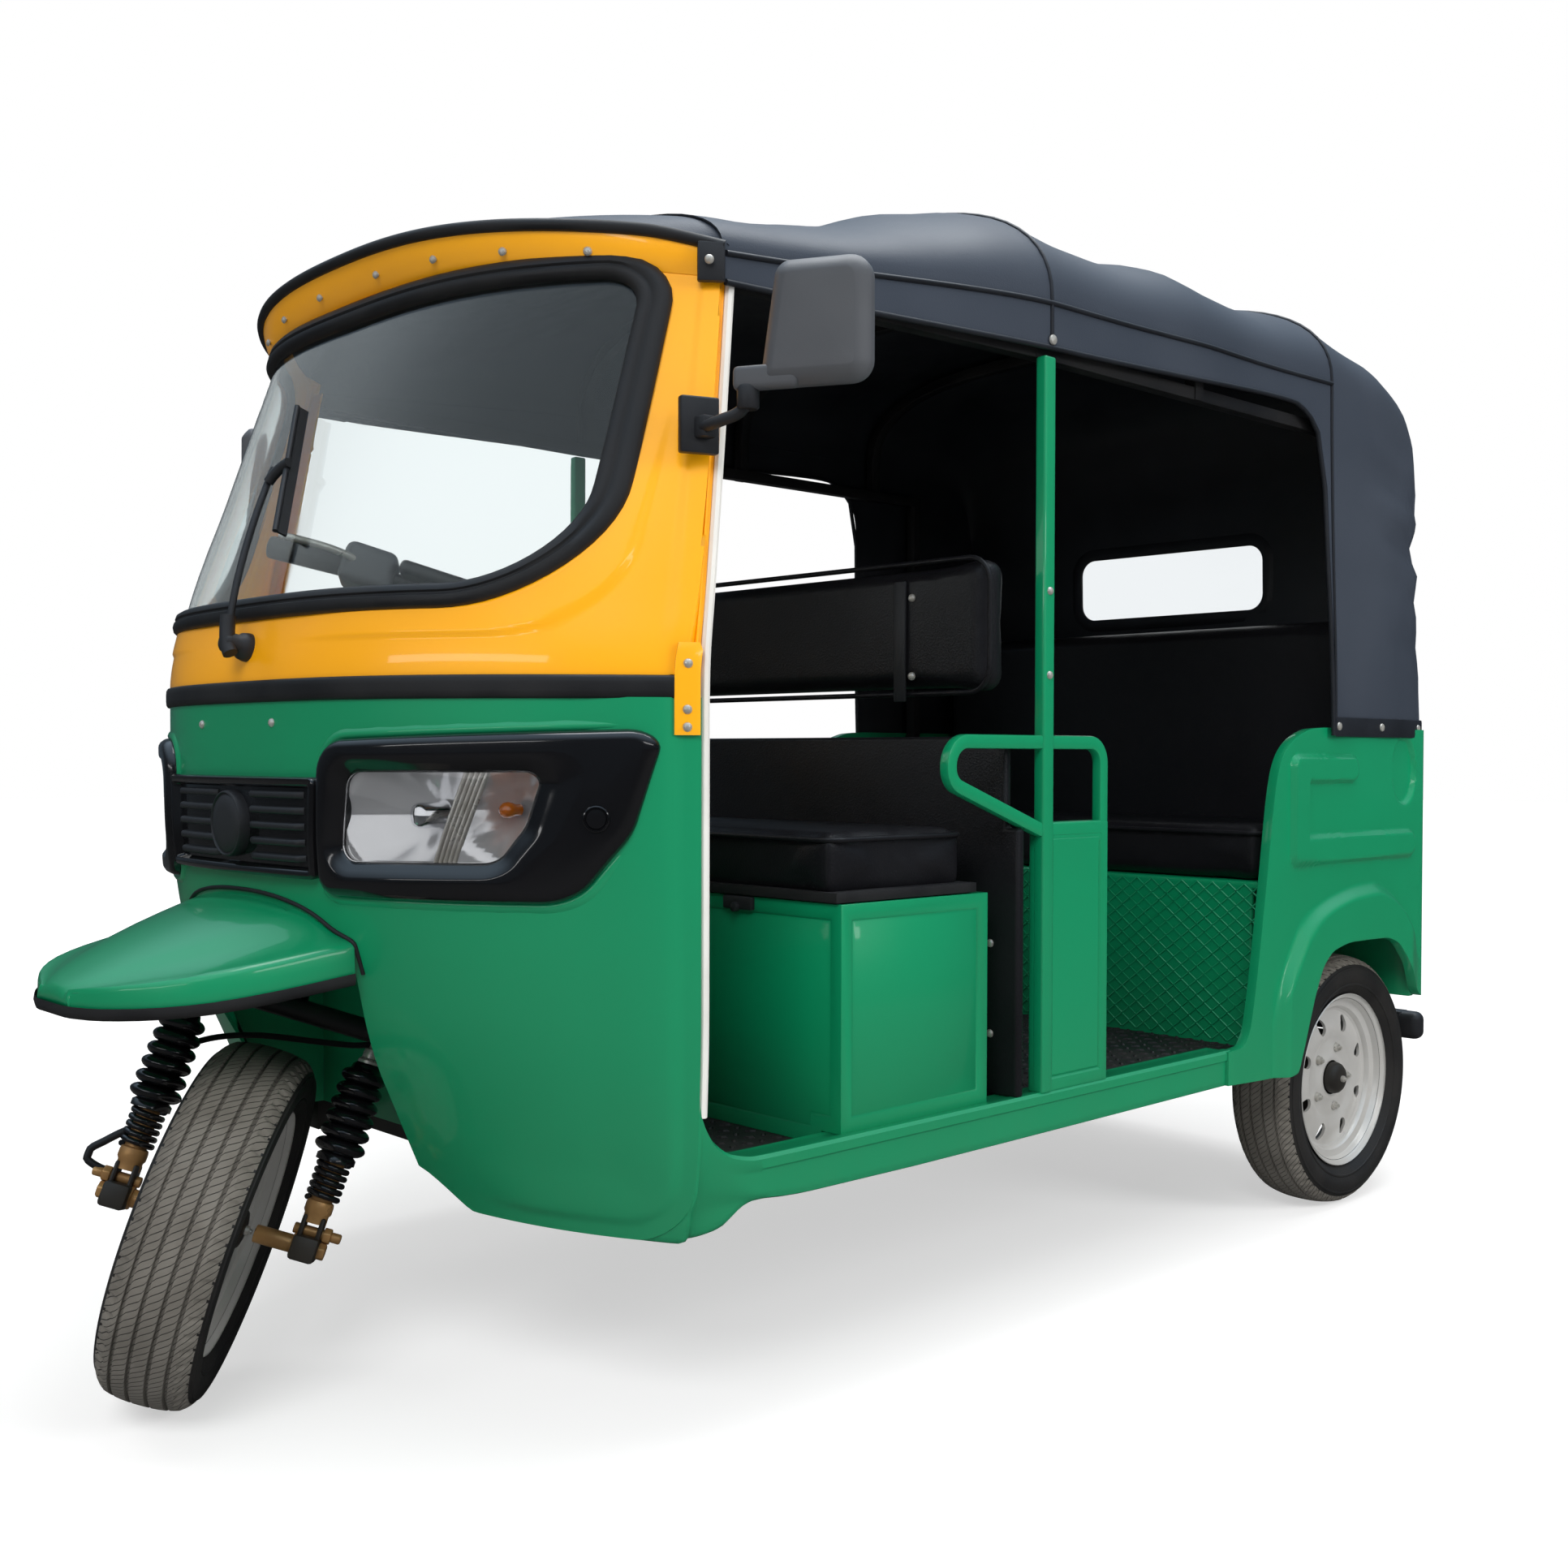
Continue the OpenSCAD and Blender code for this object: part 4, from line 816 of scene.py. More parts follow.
def makeNoseLower():
    wellRow, topRow, innerShare = 30, 50, 0.4

    def rule(u, v):
        row = (v + 1) / 2 * topRow
        climb = min(row / wellRow, 1) ** 1.7  # rows lie closer near the lower edge
        guess = mix(nose["low"], nose["wellTop"], climb)
        well = along(nose["wellRows"], guess)[0]

        def across(z):
            reach = abs(u)
            if reach <= innerShare:
                return math.copysign(reach / innerShare * well, u)
            rest = 1 - (1 - (reach - innerShare) / (1 - innerShare)) ** 1.8  # and columns near the door
            short = max(nose["corner"] - (z - nose["low"]), 0.0)  # the lower corner at the door is round
            edge = noseEdge(z) - nose["corner"] + math.sqrt(nose["corner"] ** 2 - short ** 2)
            return math.copysign(mix(well, edge, rest), u)
        x = across(guess)
        foot = nose["low"] + 0.055 * (1 - ease(0.19, 0.29, abs(x)))
        if row <= wellRow:
            z = mix(foot, nose["wellTop"], climb)
        else:
            z = mix(nose["wellTop"], nose["belt"], (row - wellRow) / (topRow - wellRow))
        x = across(z)
        inside = borderReach(x, z)
        lift = 0.0060 * ease(0.0, 0.013, inside) * (1 - ease(0.016, 0.085, inside)) * ease(0.30, 0.42, abs(x))
        here = noseAt(x, z, lift)
        if row == 0:  # the lower edge rolls under
            here += Vector((-0.012 * here.x / 0.6, 0.012, 0.002))
        if abs(u) > 0.99:  # and the rear edge turns in behind the post
            turn = ease(0.42, 0.50, z)
            here += Vector((-math.copysign(0.012, u) * turn, 0.004, 0))
        return here

    obj = startGrid("noseLower", 140, topRow, rule)
    dropFaces(obj, lambda c: c.z < nose["wellTop"] and abs(c.x) < along(nose["wellRows"], c.z)[0] - 0.002)
    hole = loopOf(lampShape["outline"], -0.014)
    dropFaces(obj, lambda c: inOutline(abs(c.x), c.z, hole))
    faceAway(obj, cabMiddle)
    thicken(obj, nose["wall"])
    finishPiece(obj, "greenPaint", "green_paint", ["nose_lower"])


makeNoseLower()

postTrim = {"span": (0.432, 1.512), "back": 0.009, "inward": 0.006, "radius": 0.0066, "steps": 24,
            "flange": (0.010, 0.040), "wall": 0.004, "rows": [  # word, low, high, finish, slot
                ("Lower", 0.40, 0.962, "greenPaint", "green_paint"),
                ("Upper", 0.985, 1.53, "yellowPaint", "yellow_paint")]}


def makePostTrim():
    def edgePlace(z, side, back, inward):
        _, half, rear = along(nose["rows"], z)
        return Vector((side * (half - inward), rear + back, z))
    strips, steps, (first, wide) = [], postTrim["steps"], postTrim["flange"]
    for side in (-1, 1):
        points = [edgePlace(mix(*postTrim["span"], k / steps), side, postTrim["back"], postTrim["inward"])
                  for k in range(steps + 1)]
        strips.append(tube("strip", points, postTrim["radius"], resolution=2))
    finishPiece(joined("postEdging", strips), "whiteTrim", "black_rubber")
    for word, low, high, paint, slotName in postTrim["rows"]:
        posts = []
        for side in (-1, 1):  # flange that turns in behind the door post
            def rule(u, v):
                z = mix(low, high, (v + 1) / 2)
                return edgePlace(z, side, 0.0, first + wide * (u + 1) / 2)
            posts.append(skin("post", 4, steps, rule, (0, -2, 0.9), postTrim["wall"]))
        finishPiece(joined("doorPost" + word, posts), paint, slotName)


makePostTrim()

window = {"halfLow": 0.536, "halfTop": 0.522, "low": 1.078, "top": 1.540, "lowRadius": 0.150,
          "topRadius": 0.070, "count": 176}
brow = {"endZ": 1.544, "rise": 0.048, "halfWidth": 0.574, "frontY": -0.876, "backY": -0.640, "drop": 0.040,
        "footShare": 0.985, "archHalf": 0.62}


def archZ(x):
    return brow["endZ"] + brow["rise"] * (1 - (x / brow["archHalf"]) ** 2)


def browFoot(x, out=0.0):  # where the brow leaves the nose
    return noseAt(x * brow["footShare"], archZ(x) - brow["drop"], out)


def windowLine(grow=0.0):
    w = window
    return roundedLine([(-w["halfLow"] - grow, w["low"] - grow, w["lowRadius"] + grow),
                        (w["halfLow"] + grow, w["low"] - grow, w["lowRadius"] + grow),
                        (w["halfTop"] + grow, w["top"] + grow, w["topRadius"] + grow),
                        (-w["halfTop"] - grow, w["top"] + grow, w["topRadius"] + grow)], w["count"])


def ridgeReach(x, z):  # how far outside the raised border round the windscreen
    a, b, turn = abs(x) - 0.553, 1.039 - z, 0.115
    return math.hypot(a + turn, b + turn) - turn if a > -turn and b > -turn else max(a, b)


def makeNoseUpper():
    inner = windowLine(-0.004)
    heart = 1.30
    lowZ = 0.988
    outer = []
    for point in inner:
        ux, uz = point.x / noseEdge(point.y), point.y - heart
        low, high = 1.0, 4.0
        for _ in range(40):
            k = (low + high) / 2
            z = heart + uz * k
            x = ux * k * noseEdge(max(lowZ, min(z, 1.6)))
            inside = abs(ux * k) <= 1 and lowZ <= z <= archZ(x)
            low, high = (k, high) if inside else (low, k)
        z = heart + uz * low
        outer.append((ux * low, z))
    corners = [(-1, lowZ), (1, lowZ), (1, archZ(0.565)), (-1, archZ(0.565))]
    for corner in corners:  # the nearest point goes right into each corner
        far = [(x - corner[0]) ** 2 + (z - corner[1]) ** 2 for x, z in outer]
        outer[far.index(min(far))] = corner
    count = len(inner)
    rings = 36

    def rule(u, v):
        i = stepOf(u, count) % count
        share = (v + 1) / 2
        a = (inner[i].x / noseEdge(inner[i].y), inner[i].y)
        b = outer[i]
        across, z = mix(a[0], b[0], share), mix(a[1], b[1], share)
        # raised rim along the door post
        lift = 0.0022 * ease(0.955, 0.968, abs(across)) * ease(1.02, 1.05, z)
        lift -= 0.003 * (1 - ease(0.0, 0.10, share))  # shallow seat for the rubber
        x = across * noseEdge(z)
        ridge = 0.0034 * (1 - ease(-0.005, 0.002, ridgeReach(x, z)))
        lift += ridge * (1 - ease(1.20, 1.36, z)) * ease(0.12, 0.30, abs(x))
        here = noseAt(x, z, lift)
        if abs(across) > 0.992:
            here += Vector((-math.copysign(0.010, across), 0.004, 0))
        return here

    obj = skin("noseUpper", count, rings, rule, cabMiddle, 0.009, gap=0.0001)
    finishPiece(obj, "yellowPaint", "yellow_paint", ["nose_upper"])


makeNoseUpper()


def ribbonOnNose(name, line, profile):  # profile rows are distance out of the outline and height off the skin
    out = outwards(line)
    count, last = len(line), len(profile) - 1

    def rule(u, v):
        i = stepOf(u, count) % count
        away, height = profile[stepOf(v, last)]
        point = line[i] + out[i] * away
        return noseAt(point.x, point.y, height)

    obj = startGrid(name, count, last, rule)
    mend(obj, 0.00005)
    return obj


def makeWindscreen():
    seal = [(0.004, -0.004), (0.005, 0.004), (0.002, 0.0095), (-0.004, 0.0125), (-0.010, 0.0125),
            (-0.0122, 0.0095), (-0.0145, 0.0095), (-0.0165, 0.0120), (-0.022, 0.0115), (-0.0265, 0.007),
            (-0.028, 0.0), (-0.026, -0.010), (-0.012, -0.012), (0.004, -0.008), (0.004, -0.004)]
    obj = ribbonOnNose("screenSeal", windowLine(), seal)
    finishPiece(obj, "rubber", "black_rubber", ["screen_seal"], 50)
    line = windowLine(-0.018)
    count = len(line)
    heart = Vector((0, 1.31))

    def rule(u, v):
        i = stepOf(u, count) % count
        point = heart.lerp(line[i], (v + 1) / 2)
        return noseAt(point.x, point.y, -0.003)

    glass = skin("screenGlass", count, 14, rule, cabMiddle, 0.005, gap=0.0001)
    finishPiece(glass, "screenGlass", "screen_glass", ["windscreen"])


makeWindscreen()


def makeBeltStrip():
    profile = [(0.9600, 0.0), (0.9608, 0.0036), (0.9640, 0.0055), (0.9700, 0.0060), (0.9800, 0.0060),
               (0.9860, 0.0055), (0.9892, 0.0036), (0.9900, 0.0)]

    def rule(u, v):
        z, height = profile[stepOf(v, 7)]
        return noseAt(u * 0.603, z, height)

    obj = skin("beltStrip", 72, 7, rule, cabMiddle)
    finishPiece(obj, "rubber", "black_rubber", ["belt_strip"], 50)
    plates = []
    for side in (-1, 1):  # yellow tongue over the strip's end
        def tongue(u, v):
            return noseAt(side * mix(0.6005, 0.6185, (u + 1) / 2), mix(0.915, 1.03, (v + 1) / 2), 0.0065)
        plate = skin("tongue", 6, 12, tongue, cabMiddle, 0.006)
        bevel(plate, 0.0015, 2)
        plates.append(plate)
    finishPiece(joined("beltTongues", plates), "yellowPaint", "yellow_paint")


makeBeltStrip()
print("nose ready")


def makeHeadlamps():
    shape = lampShape
    outline, lens = shape["outline"], shape["lens"]
    parts = {name: [] for name in shape["looks"]}
    for side in (-1, 1):
        def onSkin(loop, height):
            return [noseAt(side * p.x, p.y, height) for p in loop]
        rows = [onSkin(loopOf(outline, grow), height) for grow, height in shape["bezel"]]
        inner = loopOf(outline, shape["bezel"][-1][0])
        outer = loopOf(lens, shape["frame"][0][0])
        for share in (0.34, 0.67):
            rows.append(onSkin([a.lerp(b, share) for a, b in zip(inner, outer)], 0.0175))
        rows += [onSkin(loopOf(lens, grow), height) for grow, height in shape["frame"]]
        housing = ringGrid("housing", rows)
        faceAway(housing, cabMiddle)
        parts["lampHousings"].append(housing)
        rim = ringGrid("rim", [onSkin(loopOf(outline, grow), height) for grow, height in
                               ((0.016, 0.0), (0.0125, 0.0026), (0.009, 0.0040), (0.0055, 0.0034),
                                (0.0025, 0.0))])
        faceAway(rim, cabMiddle)
        parts["lampEmboss"].append(rim)
        heart = Vector((0.372, 0.811))
        edge = loopOf(lens, 0.0)
        lensRows = []
        for k in range(7):
            share = k / 7
            lensRows.append(onSkin([p.lerp(heart, share) for p in edge],
                                   0.0005 + 0.005 * math.sin(math.pi / 2 * share)))
        glass = ringGrid("lens", lensRows, noseAt(side * heart.x, heart.y, 0.0055))
        faceAway(glass, cabMiddle)
        thicken(glass, 0.003)
        parts["lampLenses"].append(glass)

        (footX, footZ), (headX, headZ) = shape["divider"]

        def dividerAt(z):
            return mix(footX, headX, (z - footZ) / (headZ - footZ))

        def depthAt(x, z):  # two bowls with petals round their bulbs, one each side of the divider
            cx, cz, rx, rz = shape["bowls"][0 if x < dividerAt(z) else 1]
            far = ((x - cx) / rx) ** 2 + ((z - cz) / rz) ** 2
            petals = 0.0020 * math.cos(9 * math.atan2(z - cz, x - cx)) * min(far, 1.0)
            return min(-0.006, -0.056 + 0.030 * far + petals)

        def bowlRule(u, v):
            share = (v + 1) / 2
            z = mix(0.744, 0.876, share)
            x = mix(0.246, mix(0.462, 0.508, share), (u + 1) / 2)
            return noseAt(side * x, z, depthAt(x, z))

        parts["lampBowls"].append(skin("bowl", 44, 22, bowlRule, cabMiddle))
        for k in range(5):  # ribs of the slanting divider
            line = [noseAt(side * (dividerAt(z) + 0.0055 * (k - 2)), z, -0.007)
                    for z in (mix(footZ, headZ, j / 5) for j in range(6))]
            parts["lampDividers"].append(tube("bar", line, 0.0033, resolution=2))
        ahead = facing((0, -1, 0))
        cx, cz = shape["bowls"][0][:2]
        place = Matrix.Translation(noseAt(side * cx, cz, -0.050)) @ ahead
        parts["lampBulbs"].append(turned("shield", shape["shield"], place, 28))
        cx, cz = shape["bowls"][1][:2]
        place = Matrix.Translation(noseAt(side * cx, cz, -0.046)) @ ahead
        parts["lampAmbers"].append(turned("bulb", shape["bulb"], place, 24))
        bx, bz, br = shape["blank"]
        profile = [(br * share, height) for share, height in shape["blankProfile"]]
        parts["lampBlanks"].append(turned("blank", profile, noseFrame(side * bx, bz, 0.0168), 36))
    finishAll(parts, shape["looks"])


makeHeadlamps()
print("headlamps ready")

grille = {
    "outline": [(-0.213, 0.727, 0.010), (0.213, 0.727, 0.010), (0.219, 0.860, 0.010), (-0.219, 0.860, 0.010)],
    "frame": [(0.0, -0.004), (0.0, 0.010), (-0.0025, 0.0130), (-0.0090, 0.0130), (-0.0120, 0.0105),
              (-0.0135, 0.0020), (-0.0150, 0.0010)],
    "slats": [0.752, 0.773, 0.794, 0.815, 0.836], "slatFrom": 0.052, "slatTo": 0.186, "badge": (0.794, 0.046),
}


def makeGrille():
    def dense(grow):  # straight sides need enough points to follow the nose
        return loopOf(grille["outline"], grow, 6, 28)
    rows = [[noseAt(p.x, p.y, height) for p in dense(grow)] for grow, height in grille["frame"]]
    frameRing = ringGrid("grilleFrame", rows)
    faceAway(frameRing, cabMiddle)

    def plate(u, v):
        return noseAt(u * 0.207, mix(0.738, 0.848, (v + 1) / 2), 0.0012)

    back = skin("plate", 40, 6, plate, cabMiddle)
    finishPiece(joined("grilleFrame", [frameRing, back]), "glossBlack", "black_plastic", ["grille"], 50)
    profile = [(-0.0050, 0.0010), (-0.0046, 0.0080), (-0.0025, 0.0105), (0.0025, 0.0105), (0.0046, 0.0080),
               (0.0050, 0.0010)]
    slats = []
    for side in (-1, 1):
        for z in grille["slats"]:
            def slat(u, v):
                dz, height = profile[stepOf(v, 5)]
                share = (u + 1) / 2
                fade = min(1.0, 12 * min(share, 1 - share) + 0.15)
                return noseAt(side * mix(grille["slatFrom"], grille["slatTo"], share), z + dz, height * fade)
            slats.append(skin("slat", 16, 5, slat, cabMiddle))
    finishPiece(joined("grilleSlats", slats), "satinBlack", "black_plastic", angle=50)
    z, r = grille["badge"]
    badge = turned("badge", [(0.0, 0.0195), (r * 0.5, 0.0185), (r * 0.84, 0.0160), (r * 0.88, 0.0140),
                             (r * 0.91, 0.0140), (r * 0.94, 0.0168), (r * 0.98, 0.0160), (r, 0.0130),
                             (r, -0.002)], noseFrame(0, z), 64)
    finishPiece(badge, "satinBlack", "black_plastic", angle=40)


makeGrille()

# fender rows: y, half width, lip bottom, lip top, hump half width, hump foot, crown

fenderRows = [
    (-1.280, 0.052, 0.5660, 0.587, 0.026, 0.589, 0.591), (-1.270, 0.088, 0.5665, 0.592, 0.044, 0.595, 0.598),
    (-1.250, 0.132, 0.5685, 0.597, 0.070, 0.603, 0.609), (-1.215, 0.178, 0.5720, 0.604, 0.100, 0.614, 0.627),
    (-1.165, 0.212, 0.5770, 0.613, 0.132, 0.628, 0.649), (-1.090, 0.238, 0.5875, 0.626, 0.166, 0.647, 0.677),
    (-1.000, 0.258, 0.6020, 0.643, 0.198, 0.672, 0.700), (-0.900, 0.268, 0.6150, 0.658, 0.214, 0.695, 0.712),
]


def fenderSection(y):  # points from the middle out to the lip's lower edge
    half, low, top, hump, foot, crown = along(fenderRows, y)
    points = []
    for k in range(9):
        t = k / 8
        points.append((hump * t, foot + (crown - foot) * (1 - t ** 2.4) ** 0.8))
    for k in range(1, 5):
        t = k / 5
        points.append((mix(hump, half, t), mix(foot, top + 0.003, t) - 0.0035 * math.sin(math.pi * t)))
    points += [(half - 0.005, top + 0.0030), (half - 0.001, top), (half + 0.001, top - 0.004),
               (half + 0.002, mix(top, low, 0.5)), (half + 0.003, low)]
    return points


def makeFender():
    stations = [-1.280, -1.276, -1.270, -1.261, -1.25, -1.234, -1.215, -1.19, -1.165, -1.13, -1.09, -1.06,
                -1.03, -0.995, -0.96, -0.93]
    sections = [fenderSection(y) for y in stations]
    half = len(sections[0]) - 1

    def rule(u, v):
        i = stepOf(v, len(stations) - 1)
        k = round(u * half)
        x, z = sections[i][abs(k)]
        y = stations[i]
        if y > -1.05:  # the rear end sits against the nose
            z = min(z, 0.73)
        return Vector((math.copysign(x, k) if k else 0.0, y, z))

    obj = startGrid("fender", 2 * half, len(stations) - 1, rule)

    def behindNose(c):
        return c.y > noseAt(c.x, c.z).y + 0.006
    dropFaces(obj, behindNose)
    low = sections[0]

    def faceRule(u, v):
        k = round(u * half)
        x, z = low[abs(k)]
        foot = along(fenderRows, stations[0])[1]
        share = (v + 1) / 2
        return Vector((math.copysign(x, k) if k else 0.0, stations[0] - 0.003 * math.sin(math.pi * share),
                       mix(foot, z, share)))

    front = startGrid("front", 2 * half, 4, faceRule)
    obj = joined("fender", [obj, front])
    mend(obj, 0.0004)
    faceAway(obj, (0, -1.0, 0.40))
    thicken(obj, 0.004)
    bevel(obj, 0.0012, 2, 40)
    finishPiece(obj, "greenPaint", "green_paint", ["fender"], 40)
    path = []
    for y in stations[::-1]:
        rows = along(fenderRows, y)
        if y < -0.965:
            path.append((rows[0] + 0.002, y, rows[1] - 0.006))
    front = [(x, stations[0] - 0.002, along(fenderRows, stations[0])[1] - 0.006) for x in (0.04, 0.0, -0.04)]
    whole = path + front + [(-x, y, z) for x, y, z in path[::-1]]
    trims = []
    section = [(-0.004, 0.010), (-0.0052, 0.002), (-0.0036, -0.0045), (0.0, -0.006), (0.0036, -0.0045),
               (0.0052, 0.002), (0.004, 0.010)]

    def edging(u, v):
        i = stepOf(u, len(whole) - 1)
        a, b = Vector(whole[max(i - 1, 0)]), Vector(whole[min(i + 1, len(whole) - 1)])
        run = b - a
        sideways = Vector((run.y, -run.x, 0)).normalized()
        away, dz = section[stepOf(v, 6)]
        return Vector(whole[i]) + sideways * away + Vector((0, 0, dz))

    trims.append(startGrid("edging", len(whole) - 1, 6, edging))
    faceAway(trims[0], (0, -1.0, 0.60))
    seam = []
    joint = fenderSection(-1.0)
    for k in range(1 - len(joint), len(joint)):  # dark joint line where the fender meets the nose
        x, z = joint[abs(k)]
        seam.append(noseAt(math.copysign(x, k) if k else 0.0, z + 0.002, 0.001))
    trims.append(tube("seam", seam, 0.0030, resolution=2))
    finishPiece(joined("fenderTrim", trims), "rubber", "black_rubber", angle=60)


makeFender()
print("grille and fender ready")


# brow, front of the roof and its binding

def browLip(x):
    share = min(abs(x) / brow["halfWidth"], 1.0)
    y = brow["frontY"] + (brow["backY"] + 0.004 - brow["frontY"]) * share ** 3
    return Vector((x, y, archZ(x) + 0.004 - 0.012 * max(0.0, share - 0.9) * 10))


def makeBrow():
    def rule(u, v):
        x = u * brow["halfWidth"]
        share = (v + 1) / 2
        swell = (browFoot(x, 0.01) - browFoot(x)) * 0.35 * math.sin(math.pi * share)
        return browFoot(x, 0.001).lerp(browLip(x), share) + swell

    obj = skin("brow", 72, 8, rule, (0, 0, 1.0), 0.004)
    finishPiece(obj, "yellowPaint", "yellow_paint", ["brow"], 40)
    points = [browLip(mix(-0.575, 0.575, k / 48)) + Vector((0, -0.001, 0.006)) for k in range(49)]
    binding = tube("browBinding", points, 0.0085, resolution=4)
    finishPiece(binding, "rubber", "black_rubber", angle=60)


makeBrow()

roofRows = [(-0.64, 0.576, 1.546, 1.640), (0.0, 0.612, 1.596, 1.797), (0.44, 0.615, 1.604, 1.802),
            (0.87, 0.615, 1.606, 1.798), (1.08, 0.612, 1.590, 1.754), (1.18, 0.607, 1.566, 1.712),
            (1.233, 0.602, 1.512, 1.652), (1.253, 0.598, 1.432, 1.552)]


def crownShare(t):
    return max(0.0, 1 - min(abs(t), 1.0) ** 3.5) ** 0.45


def makeHeader():
    def rule(u, v):
        spread = math.sin(u * math.pi / 2)
        lip = browLip(spread * brow["halfWidth"]) + Vector((0, 0.004, 0.010))
        half, edge, crown = along(roofRows, -0.64)
        rear = Vector((spread * half, -0.632, edge + (crown - edge) * crownShare(spread) - 0.002))
        share = (v + 1) / 2
        here = lip.lerp(rear, share)
        here.z += 0.010 * math.sin(math.pi * share) * (1 - abs(spread) ** 4)
        return here

    obj = skin("headerRoof", 64, 12, rule, (0, -0.4, 1.0), 0.003, gap=0.0001)
    finishPiece(obj, "canopyVinyl", "canopy_vinyl", ["header_roof"], 40)
    plates = []
    for side in (-1, 1):
        plate = roundBox("plate", (-0.018, -0.006, -0.026), (0.018, 0.006, 0.026), 0.003)
        spot = Matrix.Translation((side * 0.566, -0.652, 1.528))
        plate.data.transform(spot @ Matrix.Rotation(side * 0.9, 4, "Z"))
        plates.append(plate)
    finishPiece(joined("browBrackets", plates), "satinBlack", "black_plastic")


makeHeader()


def boltHead(name, radius=0.006, height=0.004):  # a domed head standing on its own frame's origin
    return turned(name, [(0.0, height), (radius * 0.55, height * 0.88), (radius * 0.9, height * 0.45),
                         (radius, 0.0), (radius, -0.002)], Matrix.Identity(4), 14)


def makeNoseBolts():
    places = []
    for x in (-0.445, -0.337, -0.218, -0.083, 0.083, 0.218, 0.337, 0.445):
        normal = (noseAt(x, archZ(x) - 0.03, 0.01) - noseAt(x, archZ(x) - 0.03)).normalized()
        here = browFoot(x, 0.001).lerp(browLip(x), 0.40) + normal * 0.0045
        places.append(Matrix.Translation(here) @ facing(normal))
    for side in (-1, 1):
        places += [noseFrame(side * 0.6095, z, 0.0062) for z in (0.925, 0.947, 1.004)]
        places += [noseFrame(side * 0.108, 0.932, 0.0)]
        spot = Vector((side * 0.574, -0.662, 1.528))
        places.append(Matrix.Translation(spot) @ facing((side * 0.8, -0.6, 0)))
    finishPiece(copies("noseBolts", boltHead("bolt", 0.0062, 0.0042), places), "zinc", "shock_metal",
                angle=50)


makeNoseBolts()
print("brow and header ready")


# wiper: points are x, z and height off the glass, and the cap's rows are radius and height

wiper = {
    "pivot": (0.030, 1.036), "blade": [(0.062, 1.188), (0.020, 1.285), (-0.018, 1.381)],
    "cap": [(0.0, 0.040), (0.010, 0.039), (0.0135, 0.036), (0.0145, 0.030), (0.0145, 0.016),
            (0.018, 0.012), (0.020, 0.004), (0.020, -0.006)],
    "head": [(0.040, 1.022, 0.028), (0.030, 1.036, 0.033), (0.027, 1.070, 0.036)],
    "arm": [(0.030, 1.040, 0.030), (0.026, 1.075, 0.034), (0.016, 1.14, 0.034), (0.002, 1.22, 0.032),
            (-0.012, 1.285, 0.026)],
    "clip": [(-0.004, 1.262, 0.029), (0.008, 1.282, 0.028), (0.026, 1.290, 0.024)],
}


def makeWiper():
    cap = turned("cap", wiper["cap"], noseFrame(*wiper["pivot"]), 28)
    head = tube("head", [noseAt(*p) for p in wiper["head"]], 0.0105, resolution=4)
    arm = tube("arm", [noseAt(*p) for p in wiper["arm"]], 0.0050, resolution=3)
    spine = tube("spine", [noseAt(px, pz, 0.022) for px, pz in wiper["blade"]], 0.0042, resolution=3)
    rows = [(k - 1, *spot) for k, spot in enumerate(wiper["blade"])]
    wipe = startGrid("wipe", 20, 3, lambda u, v: noseAt(*along(rows, u), 0.0045 + 0.016 * (v + 1) / 2))
    thicken(wipe, 0.004, 0)
    clip = tube("clip", [noseAt(*p) for p in wiper["clip"]], 0.0075, resolution=3)
    finishPiece(joined("wiper", [cap, head, arm, spine, wipe, clip]), "satinBlack", "black_plastic",
                ["wiper"], 50)


makeWiper()

# mirrors: in their own frame X points away from the body, Y backwards

mirror = {"place": (0.764, -0.644, 1.416), "toe": 28,
          "shell": [(-0.082, -0.076, 0.016), (0.062, -0.076, 0.026), (0.062, 0.078, 0.030),
                    (-0.060, 0.078, 0.022)],
          # rows are growth of the shell's outline and y
          "back": [(-0.005, 0.010), (0.0, 0.010), (0.0, 0.002), (-0.0015, -0.003), (-0.010, -0.011),
                   (-0.017, -0.0155), (-0.020, -0.016), (-0.030, -0.0165)],
          "glass": [(-0.004, 0.0095), (-0.012, 0.0100), (-0.025, 0.0104)],
          "collar": [(0.0, 0.016), (0.0125, 0.016), (0.014, 0.013), (0.014, -0.010), (0.012, -0.013),
                     (0.0, -0.013)]}


